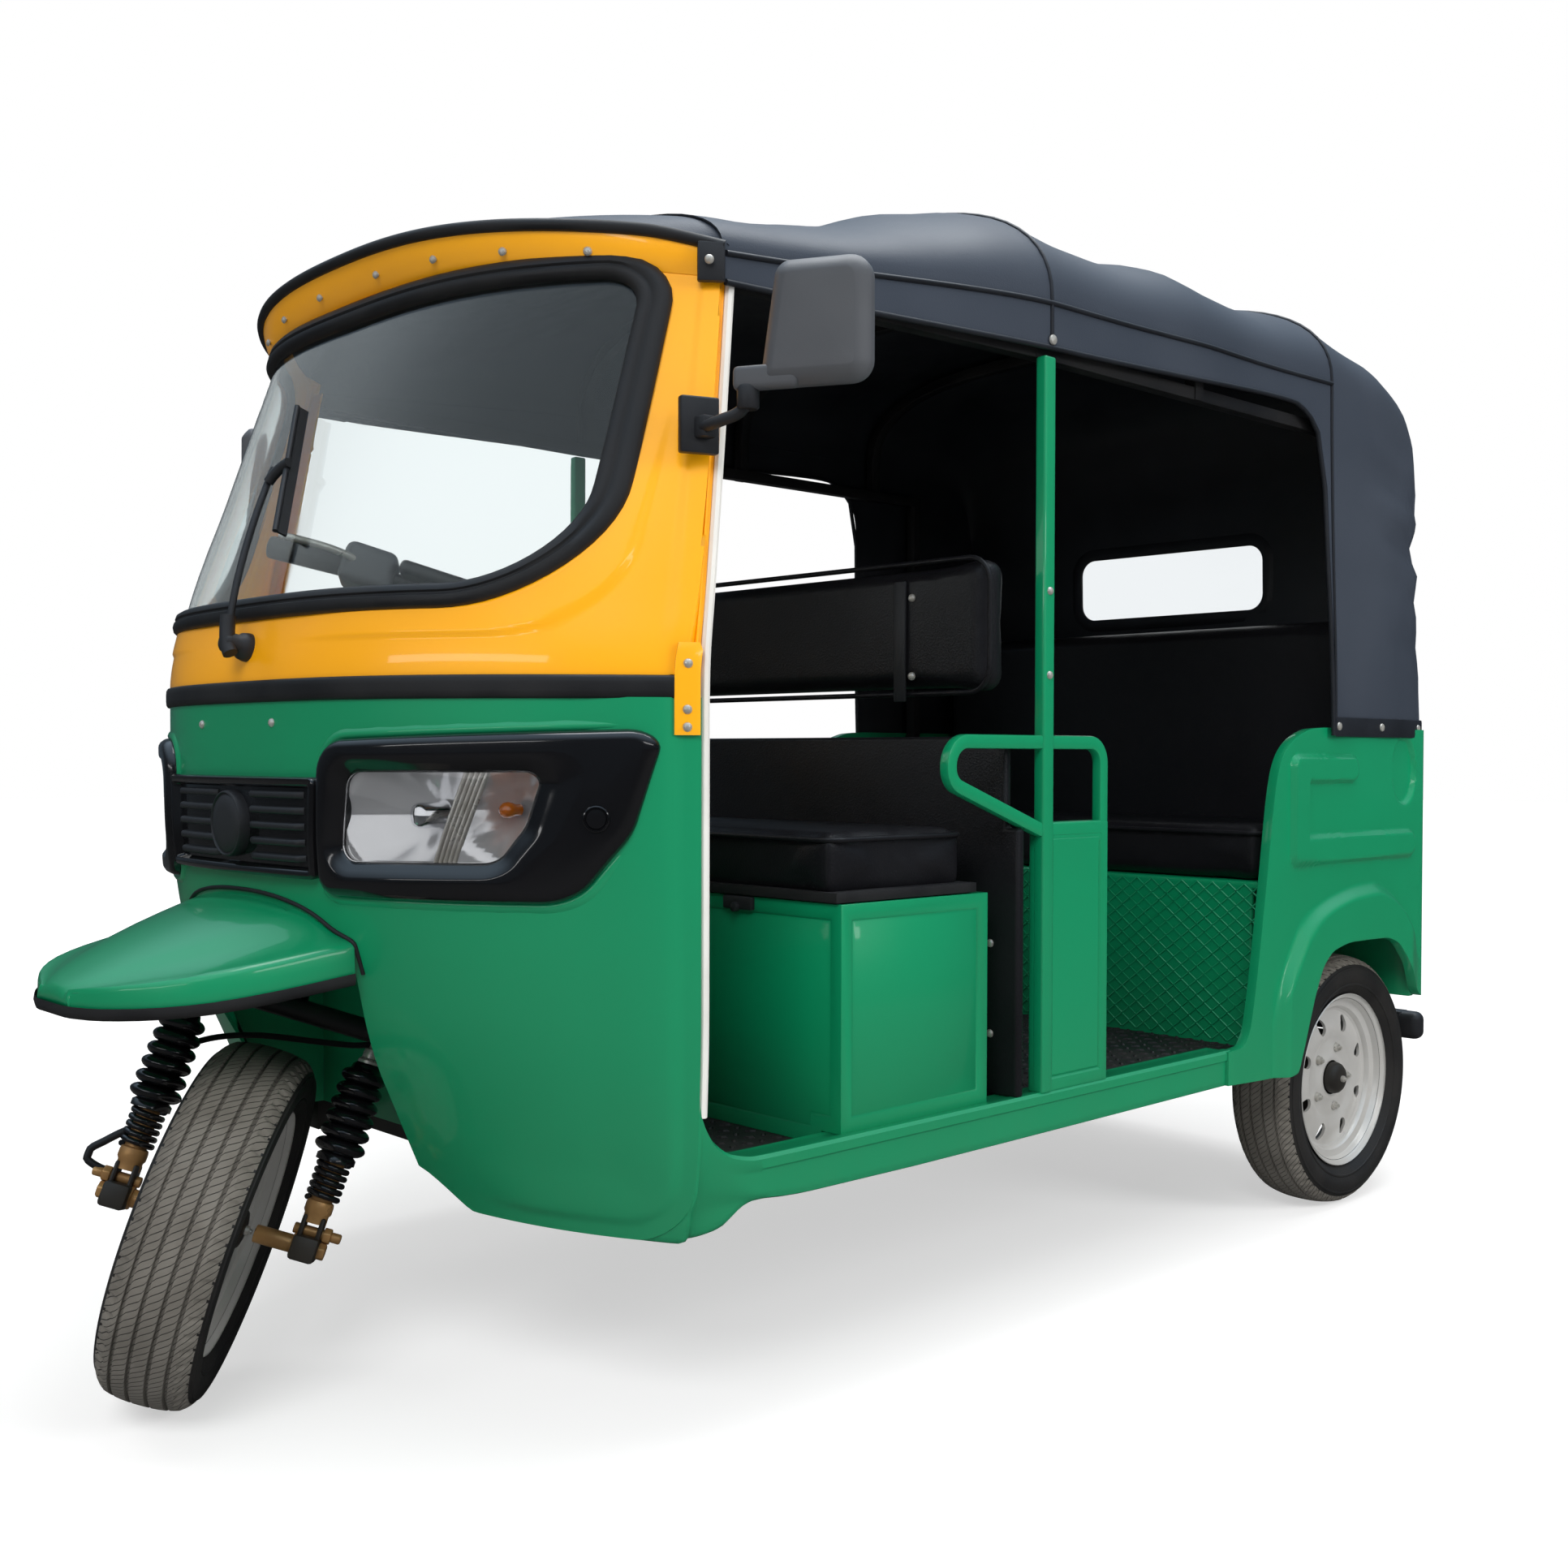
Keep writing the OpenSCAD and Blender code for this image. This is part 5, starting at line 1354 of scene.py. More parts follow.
def makeMirrors():
    shells, glasses, arms = [], [], []
    for side in (-1, 1):
        turn = Matrix.Rotation(math.radians(side * mirror["toe"]), 4, "Z")
        place = Matrix.Translation((side * mirror["place"][0], *mirror["place"][1:])) @ turn

        def loop(grow, y):
            return [place @ Vector((side * p.x, y, p.y)) for p in loopOf(mirror["shell"], grow, 6, 4)]
        rows = [loop(grow, y) for grow, y in mirror["back"]]
        shell = ringGrid("shell", rows, place @ Vector((0, -0.017, 0.0)))
        faceAway(shell, place @ Vector((0, 0.004, 0.0)))
        shells.append(shell)
        foot = roundBox("foot", (-0.114, -0.012, -0.078), (-0.03, 0.010, -0.048), 0.007, 3)
        foot.data.transform(place @ Matrix.Scale(side, 4, (1, 0, 0)))
        mend(foot)
        shells.append(foot)
        rows = [loop(grow, y) for grow, y in mirror["glass"]]
        glass = ringGrid("glass", rows, place @ Vector((0, 0.0106, 0.0)))
        faceAway(glass, place @ Vector((0, -0.05, 0.0)))
        glasses.append(glass)
        root = Vector((side * 0.602, -0.700, 1.302))
        knee = place @ Vector((side * -0.096, -0.001, -0.094))
        arms.append(tube("arm", [root, root + Vector((side * 0.026, -0.010, -0.002)),
                                 root + Vector((side * 0.046, -0.004, 0.004)),
                                 knee + Vector((side * -0.012, -0.004, -0.012)), knee,
                                 place @ Vector((side * -0.096, -0.001, -0.060))],
                         0.0078, resolution=4))
        arms.append(turned("collar", mirror["collar"], Matrix.Translation(knee + Vector((0, 0, 0.006))), 20))
        plate = roundBox("plate", (-0.007, -0.026, -0.036), (0.007, 0.026, 0.036), 0.003)
        plate.data.transform(Matrix.Translation(root + Vector((side * -0.004, 0, 0.004)))
                             @ Matrix.Rotation(side * -0.35, 4, "Z"))
        arms.append(plate)
        boss = roundBox("boss", (-0.010, -0.011, -0.014), (0.012, 0.011, 0.014), 0.004)
        boss.data.transform(Matrix.Translation(root + Vector((side * 0.008, 0, 0.0))))
        arms.append(boss)
    finishPiece(joined("mirrorShells", shells), "mirrorShell", "black_plastic", ["mirrors"], 35)
    finishPiece(joined("mirrorGlasses", glasses), "mirrorGlass", "screen_glass", angle=40)
    finishPiece(joined("mirrorArms", arms), "satinBlack", "black_plastic", angle=45)


makeMirrors()
print("wiper and mirrors ready")


# wheels: tread half-section rows are radius and half width, grooves are places across the tread

wheel = {
    "grooves": [-0.036, -0.0125, 0.0125, 0.036], "grooveHalf": 0.0022, "grooveDeep": 0.0052, "steps": 360,
    "radius": 0.247, "treadHalf": 0.0486, "crownDrop": 0.0060, "notch": 0.0034, "notchPitch": 6,
    "side": [(0.1600, 0.0446), (0.1660, 0.0462), (0.1715, 0.0480), (0.1800, 0.0560), (0.1870, 0.0612),
             (0.1880, 0.0632), (0.1905, 0.0636), (0.1920, 0.0626), (0.2000, 0.0660), (0.2075, 0.0675),
             (0.2160, 0.0660), (0.2200, 0.0652), (0.2210, 0.0658), (0.2235, 0.0650), (0.2245, 0.0632)],
    "shoulder": [(0.2290, 0.0608), (0.2330, 0.0580), (0.2375, 0.0535), (0.2410, 0.0486)],
}


def treadRadius(w):
    return wheel["radius"] - wheel["crownDrop"] * (abs(w) / wheel["treadHalf"]) ** 2.6


def tyreProfile():
    across = [(-w, r) for r, w in wheel["side"] + wheel["shoulder"]]
    g, half = wheel["grooves"], wheel["grooveHalf"]
    inner = []
    for place in g:
        inner += [place - half - 0.0007, place - half + 0.0006, place + half - 0.0006, place + half + 0.0007]
    fill = [-0.0445, -0.041, -0.030, -0.024, -0.018, -0.006, 0.0, 0.006, 0.018, 0.024, 0.030, 0.041, 0.0445]
    tread = sorted(inner + fill)
    rows = list(across)
    for w in tread:
        sunk = any(abs(w - place) < half for place in g)
        rows.append((w, treadRadius(w) - (wheel["grooveDeep"] if sunk else 0.0)))
    rows += [(w, r) for r, w in (wheel["side"] + wheel["shoulder"])[::-1]]
    return rows


def makeTyre(name, place, body, node):
    rows = tyreProfile()
    steps = wheel["steps"]

    def rule(u, v):
        k = stepOf(u, steps) % steps
        w, radius = rows[stepOf(v, len(rows) - 1)]
        angle = 2 * math.pi * k / steps
        reach = abs(w)
        if 0.046 < reach < 0.0605 and radius > 0.228 and k % wheel["notchPitch"] in (0, 1):
            radius -= wheel["notch"]  # shoulder notches
        return place @ Vector((w, radius * math.cos(angle), radius * math.sin(angle)))

    obj = skin(name, steps, len(rows) - 1, rule, place.translation, gap=0.00001)
    finishPiece(obj, "tread", "tyre_rubber", [node], 25, body=body)
    obj.data.materials.append(finish["sidewall"])
    axis = place.to_3x3() @ Vector((1, 0, 0))
    for face in obj.data.polygons:
        off = face.center - place.translation
        reach = abs(off.dot(axis))
        radius = (off - axis * off.dot(axis)).length
        # faces near the tread take the lighter tread colour (road dust, partly painted highlight), the rest
        # the dark sidewall
        face.material_index = 1 if radius < 0.2300 or reach > 0.0600 else 0


rim = {
    "profile": [(0.1690, 0.0540), (0.1705, 0.0525), (0.1690, 0.0505), (0.1640, 0.0480), (0.1600, 0.0440),
                (0.1585, 0.0380), (0.1560, 0.0335), (0.1490, 0.0310), (0.1440, 0.0300), (0.1415, 0.0270),
                (0.1390, 0.0215), (0.1340, 0.0190), (0.1260, 0.0205), (0.1160, 0.0250), (0.1020, 0.0275),
                (0.0880, 0.0262), (0.0800, 0.0222), (0.0740, 0.0205), (0.0600, 0.0205), (0.0480, 0.0215),
                (0.0440, 0.0240), (0.0400, 0.0245), (0.0340, 0.0240), (0.0, 0.0240)],
    "barrel": [(0.1390, 0.0155), (0.1440, 0.0240), (0.1520, 0.0260), (0.1520, -0.020), (0.1560, -0.036),
               (0.1600, -0.0440), (0.1640, -0.0480), (0.1690, -0.0505), (0.1705, -0.0525),
               (0.1690, -0.0540), (0.1630, -0.0505), (0.1590, -0.0465), (0.1550, -0.0380),
               (0.1500, -0.0200), (0.1500, 0.0200)],
    "hub": [(0.0, 0.0470), (0.0150, 0.0465), (0.0240, 0.0440), (0.0290, 0.0390), (0.0310, 0.0330),
            (0.0310, 0.0240), (0.0360, 0.0240), (0.0360, 0.0200)],
    "drum": [(0.0, -0.0300), (0.0900, -0.0300), (0.0940, -0.0260), (0.0940, 0.0100), (0.0860, 0.0160),
             (0.0, 0.0160)],
    "stud": [(0.0, 0.0130), (0.0035, 0.0125), (0.0042, 0.0110), (0.0042, 0.0080), (0.0078, 0.0070),
             (0.0082, 0.0010), (0.0105, 0.0), (0.0105, -0.002)],
    "slots": 8, "slotAt": 0.112, "slotRadius": 0.0176, "slotSquash": 0.70, "studs": 5, "studAt": 0.061,
}


def makeRim(name, place, body, node):
    outer = [row for row in rim["profile"] if row[0] >= 0.1389]
    dish = [row for row in rim["profile"] if row[0] <= 0.1391]
    back = [(r, w - 0.006) for r, w in dish[::-1]]
    spin = place @ Matrix.Rotation(math.radians(90), 4, "Y")
    disc = turned("disc", dish + back + [dish[0]], spin, 96)
    cutters = []
    for k in range(rim["slots"]):
        angle = 2 * math.pi * (k + 0.5) / rim["slots"]
        cutter = rod("cutter", (0, 0, -0.03), (0, 0, 0.06), rim["slotRadius"], sides=24)
        cutter.data.transform(spin @ Matrix.Rotation(angle, 4, "Z")
                              @ Matrix.Translation((rim["slotAt"], 0, 0))
                              @ Matrix.Scale(rim["slotSquash"], 4, (0, 1, 0)))
        cutters.append(cutter)
    cutter = joined("cutters", cutters)
    mend(cutter)
    applyModifier(disc, "BOOLEAN", object=cutter, operation="DIFFERENCE", solver="EXACT")
    bpy.data.objects.remove(cutter)
    hoop = turned("hoop", outer + rim["barrel"], spin, 96)
    finishPiece(joined(name, [disc, hoop]), "rimSilver", "rim_silver", [node], 32, body=body)
    centre = [turned("hub", rim["hub"], spin, 40), turned("drum", rim["drum"], spin, 48)]
    finishPiece(joined(name + "Hub", centre), "frameBlack", "black_paint", angle=40, body=body)
    stud = turned("stud", rim["stud"], Matrix.Identity(4), 12)
    places = []
    for k in range(rim["studs"]):
        angle = 2 * math.pi * (k + 0.2) / rim["studs"]
        places.append(spin @ Matrix.Rotation(angle, 4, "Z") @ Matrix.Translation((rim["studAt"], 0, 0.0205)))
    places.append(spin @ Matrix.Translation((0.0, 0, 0.0460)) @ Matrix.Scale(0.8, 4))
    finishPiece(copies(name + "Studs", stud, places), "zinc", "rim_silver", angle=40, body=body)


wheelPlaces = [("frontTyre", "frontRim", steerFrame, "front_wheel", "front_tyre", "front_rim")]
for side, word in ((1, "left"), (-1, "right")):
    turn = Matrix.Rotation(0 if side > 0 else math.pi, 4, "Z")
    spot = Matrix.Translation((side * 0.53, 1.006, 0.247)) @ turn
    wheelPlaces.append(("rearTyre_" + word, "rearRim_" + word, spot, "rear_wheel_" + word,
                        "rear_tyre_" + word, "rear_rim_" + word))
for tyreName, rimName, spot, body, tyreNode, rimNode in wheelPlaces:
    makeTyre(tyreName, spot, body, tyreNode)
    makeRim(rimName, spot, body, rimNode)
print("wheels ready")


# shock absorbers in the steering frame: bellows above, a coil below, bronze ends

shock = {
    "x": 0.132, "folds": 6, "turns": 5.5, "coilSteps": 88, "coil": 0.0205, "pinZ": 0.022,
    "barrel": [(0.0, 0.126), (0.0150, 0.126), (0.0150, 0.066), (0.0185, 0.064), (0.0195, 0.060),
               (0.0195, 0.050), (0.0170, 0.046), (0.0170, 0.034), (0.0, 0.034)],
    "top": [(0.0, 0.292), (0.006, 0.292), (0.007, 0.284), (0.0115, 0.282), (0.0125, 0.276),
            (0.0125, 0.270), (0.0165, 0.266), (0.0165, 0.258), (0.0, 0.258)],
    "pins": [("nut", 0.018, 0.029, 0.0115, 0.0015, 6), ("cap", 0.028, 0.043, 0.0070, 0.0025, 16)],
    "axle": [("stub", 0.060, 0.122, 0.0125, 0.002, 24), ("collar", 0.112, 0.122, 0.0165, 0.002, 24),
             ("end", 0.140, 0.160, 0.0125, 0.002, 6)],
    "looks": {"shockBellows": ("glossBlack", "black_rubber", ["shocks"], 60, "steering"),
              "shockCoils": ("glossBlack", "black_paint", (), 60, "steering"),
              "shockBarrels": ("bronze", "shock_metal", (), 35, "steering"),
              "shockTops": ("zinc", "shock_metal", (), 35, "steering"),
              "shockEars": ("frameBlack", "black_paint", (), 35, "steering")},
}


def steered(x, y, z):
    return steerFrame @ Vector((x, y, z))


def makeShocks():
    parts = {name: [] for name in shock["looks"]}
    bellows, coils, bronzes, tops, irons = parts.values()
    folds, last, z = shock["folds"], shock["coilSteps"], shock["pinZ"]
    for side in (-1, 1):
        place = steerFrame @ Matrix.Translation((side * shock["x"], 0, 0))
        rows = [(0.017, 0.262), (0.021, 0.258)]
        for k in range(folds):
            low, high = mix(0.252, 0.132, k / folds), mix(0.252, 0.132, (k + 1) / folds)
            reach = mix(0.0325, 0.0360, k / (folds - 1))
            for share in (0.0, 0.08, 0.2, 0.35, 0.5, 0.65, 0.8, 0.92):
                rows.append((mix(0.0225, reach, math.sin(math.pi * share) ** 0.6), mix(low, high, share)))
        rows += [(0.0225, 0.132), (0.0275, 0.128), (0.0275, 0.120), (0.017, 0.118)]
        bellows.append(turned("bellows", rows, place, 32))
        angles = [2 * math.pi * shock["turns"] * k / last for k in range(last + 1)]
        path = [place @ Vector((shock["coil"] * math.cos(angle), shock["coil"] * math.sin(angle),
                                mix(0.120, 0.066, k / last))) for k, angle in enumerate(angles)]
        coils.append(tube("coil", path, 0.0042, resolution=3, smoothPath=False))
        bronzes.append(turned("barrel", shock["barrel"], place, 28))
        tops.append(turned("top", shock["top"], place, 20))
        for x in (-0.0125, 0.0125):
            ear = roundBox("ear", (x - 0.0035, -0.016, -0.014), (x + 0.0035, 0.016, 0.044), 0.004)
            ear.data.transform(place)
            irons.append(ear)
        bronzes.append(rod("pin", place @ Vector((-0.024, 0, z)), place @ Vector((0.024, 0, z)), 0.0075,
                           0.0015, 16))
        for name, start, end, *rest in shock["pins"]:
            bronzes.append(rod(name, place @ Vector((start * side, 0, z)), place @ Vector((end * side, 0, z)),
                               *rest))
        for name, start, end, *rest in shock["axle"]:
            bronzes.append(rod(name, steered(side * start, 0, 0), steered(side * end, 0, 0), *rest))
        knuckle = roundBox("knuckle", (side * shock["x"] - 0.018, -0.030, -0.018),
                           (side * shock["x"] + 0.018, 0.016, 0.016), 0.005)
        knuckle.data.transform(steerFrame)
        irons.append(knuckle)
    finishAll(parts, shock["looks"])
    crown = roundBox("crown", (-0.160, -0.034, 0.292), (0.160, 0.044, 0.322), 0.012, 3)
    crown.data.transform(steerFrame)
    column = rod("column", steered(0, 0, 0.300), steered(0, 0, 0.944), 0.022, 0.002, 32)
    finishPiece(joined("forkFrame", [crown, column]), "frameBlack", "black_paint", ["fork"], body="steering")
    bar = [steered(x, 0, 0.960 - 0.18 * x * x) for x in (mix(-0.25, 0.25, k / 12) for k in range(13))]
    frames = [tube("bar", bar, 0.011, resolution=4),
              rod("clamp", steered(0, 0, 0.944), steered(0, 0, 0.976), 0.028, 0.003)]
    cover = roundBox("cover", (-0.062, -0.046, 0.962), (0.062, 0.030, 0.984), 0.009, 3)
    cover.data.transform(steerFrame)
    grips, pods = [], []
    for side in (-1, 1):
        pod = roundBox("pod", (side * 0.108 - 0.040, -0.034, 0.928), (side * 0.108 + 0.040, 0.034, 0.992),
                       0.014, 4)
        pod.data.transform(steerFrame)
        pods.append(pod)
        grips.append(rod("grip", steered(side * 0.146, 0, 0.9565), steered(side * 0.257, 0, 0.9480), 0.0170,
                         0.005))
    finishPiece(joined("handlebarFrame", frames + [cover]), "satinBlack", "black_plastic", ["handlebar"], 50,
                body="steering")
    finishPiece(joined("switchPods", pods), "mirrorShell", "black_plastic", angle=50, body="steering")
    finishPiece(joined("handGrips", grips), "rubber", "black_rubber", angle=50, body="steering")
    levers = []
    bend = [(0.130, -0.030, 0.962), (0.150, -0.052, 0.962), (0.190, -0.058, 0.958), (0.235, -0.052, 0.954)]
    for side in (-1, 1):
        levers.append(tube("lever", [steered(side * x, y, z) for x, y, z in bend], 0.0058, resolution=3))
    finishPiece(joined("handLevers", levers), "zinc", "shock_metal", angle=50, body="steering")


makeShocks()
print("front suspension ready")


# cabin shell: sills with the sweep up into the door posts

sillTop = [(-0.780, 0.470), (-0.722, 0.470), (-0.704, 0.425), (-0.682, 0.393), (-0.650, 0.373),
           (-0.610, 0.3655), (-0.50, 0.365), (0.53, 0.365)]
sillLow = [(-0.780, 0.2700), (-0.735, 0.2672), (-0.684, 0.2660), (-0.664, 0.2695), (-0.650, 0.2755),
           (-0.637, 0.2880), (-0.624, 0.3000), (-0.610, 0.3055), (-0.590, 0.3070), (-0.56, 0.3045),
           (-0.515, 0.3020), (-0.30, 0.3000), (0.53, 0.3030)]
sillCrease = [(0.26, -0.560), (0.311, -0.585), (0.316, -0.608), (0.329, -0.633), (0.349, -0.657),
              (0.375, -0.678), (0.404, -0.699), (0.47, -0.735)]


def makeSills():
    stations = [-0.780 + 0.006 * k for k in range(39)] + [-0.53, -0.5, -0.3, -0.1, 0.1, 0.3, 0.53]
    sills = []
    for side in (-1, 1):
        def rule(u, v):
            y = stations[stepOf(u, len(stations) - 1)]
            top, low = along(sillTop, y)[0], along(sillLow, y)[0]
            settle = ease(-0.70, -0.58, y)
            ring = [(0.055, low), (0.055, top - 0.003), (0.052, top), (0.022, top), (0.018, top + 0.0025),
                    (0.004, top + 0.0025), (0.0, top - 0.002), (0.0, top - 0.014),
                    (0.003 * settle, top - 0.017)]
            ring += [(0.003 * settle, mix(top - 0.017, low + 0.010, k / 8)) for k in range(1, 9)]
            ring += [(0.005, low + 0.003), (0.012, low), (0.055, low)]
            inward, z = ring[stepOf(v, 19)]
            # the post turns in below the sweep
            inward += 0.16 * max(0.0, along(sillCrease, z)[0] - y) * ease(-0.722, -0.690, y)
            front, half, back = along(nose["rows"], z)
            # forward of the edge it lies behind the nose
            ahead = max(min((y - front) / (back - front), 1.0), 0.0) ** (1 / 3)
            x = mix(half * ahead - 0.004 * (1 - ease(-0.722, -0.706, y)), 0.617, settle) - inward
            return Vector((side * x, y, z))
        sill = skin("sill", len(stations) - 1, 19, rule, (side * 0.59, 0, 0.338), gap=0.00005)
        sills.append(sill)
    finishPiece(joined("sillPanels", sills), "greenPaint", "green_paint", ["sills"], 40)


makeSills()


def groove(obj, direction, low, high, margin, width=0.0035, deep=0.003):  # a fine line sunk round flat faces
    direction = Vector(direction)
    straight, largeFace = 0.99, 0.02
    selectFaces(obj, lambda face: face.normal.dot(direction) > straight and face.area > largeFace
                and low < face.center.dot(direction) < high)
    bpy.ops.mesh.inset(thickness=margin, depth=0)
    bpy.ops.mesh.inset(thickness=width, depth=-deep)
    bpy.ops.mesh.inset(thickness=width, depth=deep)
    bpy.ops.object.mode_set(mode="OBJECT")


pillar = {"inner": 0.597, "outer": 0.617, "front": -0.016, "rear": 0.011,
          "panelInner": 0.588, "panelOuter": 0.6155, "panelRear": 0.157, "panelTop": 0.787}
# outer corners are y, z, radius
grab = {"inner": 0.5975, "outer": 0.6150, "wide": 0.0215, "count": 96, "loops": [
    [(0.0105, 0.922, 0.0225), (-0.238, 0.922, 0.047), (-0.238, 0.843, 0.040), (0.0105, 0.755, 0.0225)],
    [(-0.014, 0.922, 0.0225), (0.1565, 0.922, 0.044), (0.1565, 0.752, 0.0225), (-0.014, 0.752, 0.0225)],
]}


def barLoop(name, corners, inner, outer, wide):  # a flat bar bent round an outline
    points = roundedLine(corners, grab["count"])
    away = outwards(points)
    section = [(0.0, inner), (0.0, outer), (-wide, outer), (-wide, inner)]

    def rule(u, v):
        i = stepOf(u, grab["count"]) % grab["count"]
        out, x = section[stepOf(v, 4) % 4]
        place = points[i] + away[i] * out
        return Vector((x, place.x, place.y))

    obj = startGrid(name, grab["count"], 4, rule)
    mend(obj, 0.00005)
    bevel(obj, 0.0035, 2, 60)
    return obj


nodePieces = [  # name, solid, edge and its segments, finish, slot, body
    ("rearWall", "partition", 0.006, 3, "seatVinyl", "seat_vinyl", "body"),
    # the seat lid takes the dark rubber finish, a painted shade for the gap under the driver's cushion
    ("seatLid", "driver_lid", 0.003, 2, "rubber", "black_paint", "driver_seat_lid"),
    ("benchFrame", "bench_base", 0.004, 2, "greenPaint", "green_paint", "body"),
    ("dashPanel", "dashboard", 0.006, 3, "satinBlack", "black_plastic", "body"),
    ("roofBows", "roof_frame", 0.003, 2, "rubber", "black_paint", "body"),
    ("mainFrame", "chassis", 0.003, 2, "frameBlack", "black_paint", "body"),
]


def makeCabin():
    posts, loops = [], []
    foot, head = (corner[2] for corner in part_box("pillars"))
    for side in (-1, 1):
        span = sorted((side * pillar["inner"], side * pillar["outer"]))
        posts.append(roundBox("post", (span[0], pillar["front"], foot), (span[1], pillar["rear"], head),
                              0.004, 3))
        span = sorted((side * pillar["panelInner"], side * pillar["panelOuter"]))
        panel = roundBox("panel", (span[0], pillar["front"] + 0.0004, foot),
                         (span[1], pillar["panelRear"], pillar["panelTop"]), 0.004, 3)
        groove(panel, (side, 0, 0), 0.60, 0.63, 0.016)
        posts.append(panel)
        for corners in grab["loops"]:
            loops.append(barLoop("loop", corners, side * grab["inner"], side * grab["outer"], grab["wide"]))
    finishPiece(joined("middlePillars", posts), "greenPaint", "green_paint", ["pillars"])
    finishPiece(joined("grabLoops", loops), "greenPaint", "green_paint", ["grab_frames"], 40)
    seatBox = nodeCopy("seatBox", "driver_box", 0)
    groove(seatBox, (0, -1, 0), 0.43, 0.45, 0.020)
    for side in (-1, 1):
        groove(seatBox, (side, 0, 0), 0.59, 0.61, 0.020)
    bevel(seatBox, 0.004, 2, 60)
    finishPiece(seatBox, "greenPaint", "green_paint", ["driver_box"])
    hasps = []
    for x in (0.39, -0.39):
        hasps.append(roundBox("hasp", (x - 0.031, -0.449, 0.664), (x + 0.031, -0.439, 0.684), 0.003))
        hasps.append(rod("loop", (x, -0.456, 0.668), (x, -0.446, 0.668), 0.007, 0.0015, 16))
    finishPiece(joined("seatHasps", hasps), "satinBlack", "black_paint")
    for name, node, edge, segments, look, slotName, body in nodePieces:
        finishPiece(nodeCopy(name, node, edge, segments), look, slotName, [node], body=body)
    low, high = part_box("rear_bumper")
    bumper = roundBox("bumper", (-0.606, low[1] - 0.001, high[2] - 0.057),
                      (0.606, high[1] + 0.001, high[2] + 0.001), 0.017, 5)
    bumper = joined("rearBumper", [bumper, nodeCopy("brackets", "rear_bumper", 0.003)])
    finishPiece(bumper, "satinBlack", "black_paint", ["rear_bumper"])
    for node, name in (("floor_pan", "floorMat"), ("wheel_well", "greenPaint"),
                       ("steering_head", "frameBlack"), ("engine", "castMetal"),
                       ("rear_suspension", "frameBlack")):
        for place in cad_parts[node].material_slots:
            place.material = finish[name]


makeCabin()


def makeFloorStuds():
    deselect()
    pitch, tall, squash, floorZ = 0.028, 0.003, 0.42, 0.3448
    bpy.ops.mesh.primitive_cone_add(vertices=6, radius1=0.0105, radius2=0.0070, depth=tall)
    stud = bpy.context.object
    stud.data.transform(Matrix.Translation((0, 0, tall / 2)) @ Matrix.Scale(squash, 4, (0, 1, 0)))
    places = []
    for low, high in (((-0.54, -0.735), (0.54, -0.455)), ((-0.545, 0.02), (0.545, 0.68))):
        across, rows = round((high[0] - low[0]) / pitch), round((high[1] - low[1]) / pitch)
        for i in range(across + 1):
            for j in range(rows + 1):
                x, y = mix(low[0], high[0], i / across), mix(low[1], high[1], j / rows)
                turn = math.radians(45 if (i + j) % 2 else -45)
                places.append(Matrix.Translation((x, y, floorZ)) @ Matrix.Rotation(turn, 4, "Z"))
    studs = copies("matStuds", stud, places)
    finishPiece(studs, "floorMat", "floor_mat", angle=20)


makeFloorStuds()


def makeBenchPlate():  # raised diamond ribs on the bench's front
    ribs = []
    low, high, wide, y = 0.352, 0.650, 0.578, 0.6895
    step, slant = 0.034, 1.25
    run = (high - low) * slant
    for k in range(int((2 * wide + run) / step) + 1):
        for way in (1, -1):
            foot = way * (-wide - run + k * step)
            ends = []
            for limit in (-wide, wide):  # clip the sloping line to the panel
                share = max(0.0, min(1.0, (limit - foot) * way / run))
                ends.append(Vector((foot + way * run * share, y, mix(low, high, share))))
            if (ends[1] - ends[0]).length > 0.02:
                ribs.append(rod("rib", ends[0], ends[1], 0.0018, sides=6))
    finishPiece(joined("benchPlateRibs", ribs), "greenPaint", "green_paint", angle=60)


makeBenchPlate()
print("cabin ready")


# cushions: low and high corners, edge radius, how full (not used)

cushions = [
    ("driverCushion", "driver_cushion", "driver_seat_lid",
     (-0.585, -0.450, 0.690), (0.585, -0.152, 0.783), 0.014, 0.85),
    ("driverBackrest", "driver_backrest", "body",
     (-0.594, -0.120, 0.982), (0.594, -0.057, 1.198), 0.026, 0.8),
    ("benchCushion", "bench_cushion", "body",
     (-0.578, 0.684, 0.658), (0.578, 1.116, 0.759), 0.018, 0.85),
    ("benchBackrest", "bench_backrest", "body", None, None, 0.030, 0.8),
]


def nodeBox(node):
    low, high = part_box(node)
    return Vector(low), Vector(high)


def makeCushion(name, node, body, low, high, edge, fill):
    if low is None:
        inset = Vector((0.003, 0.003, 0.003))
        low, high = nodeBox(node)
        low, high = low + inset, high - inset
    shrink = Vector((0.003, 0.003, 0.004))
    obj = roundBox(name, Vector(low) + shrink, Vector(high) - shrink, edge, 4)
    applyModifier(obj, "REMESH", mode="VOXEL", voxel_size=0.0075)
    flat = [v.co.copy() for v in obj.data.vertices]
    pick(obj)
    cloth = obj.modifiers.new("Cloth", "CLOTH")
    cloth.settings.use_pressure = True
    cloth.settings.uniform_pressure_force = 4
    cloth.settings.effector_weights.gravity = 0
    cloth.settings.quality = 4
    cloth.point_cache.frame_start, cloth.point_cache.frame_end = 1, 16
    for step in range(1, 17):
        bpy.context.scene.frame_set(step)
    bpy.ops.object.modifier_apply(modifier=cloth.name)
    bpy.context.scene.frame_set(1)
    cap = 0.010
    lowCap, highCap = Vector(low), Vector(high)
    for vert, start in zip(obj.data.vertices, flat):
        move = vert.co - start
        if move.length > cap:
            vert.co = start + move.normalized() * cap
        for axis in range(3):
            vert.co[axis] = max(lowCap[axis], min(highCap[axis], vert.co[axis]))
    applyModifier(obj, "SMOOTH", factor=0.5, iterations=4)
    finishPiece(obj, "seatVinyl", "seat_vinyl", [node], 80, body=body)
    return obj


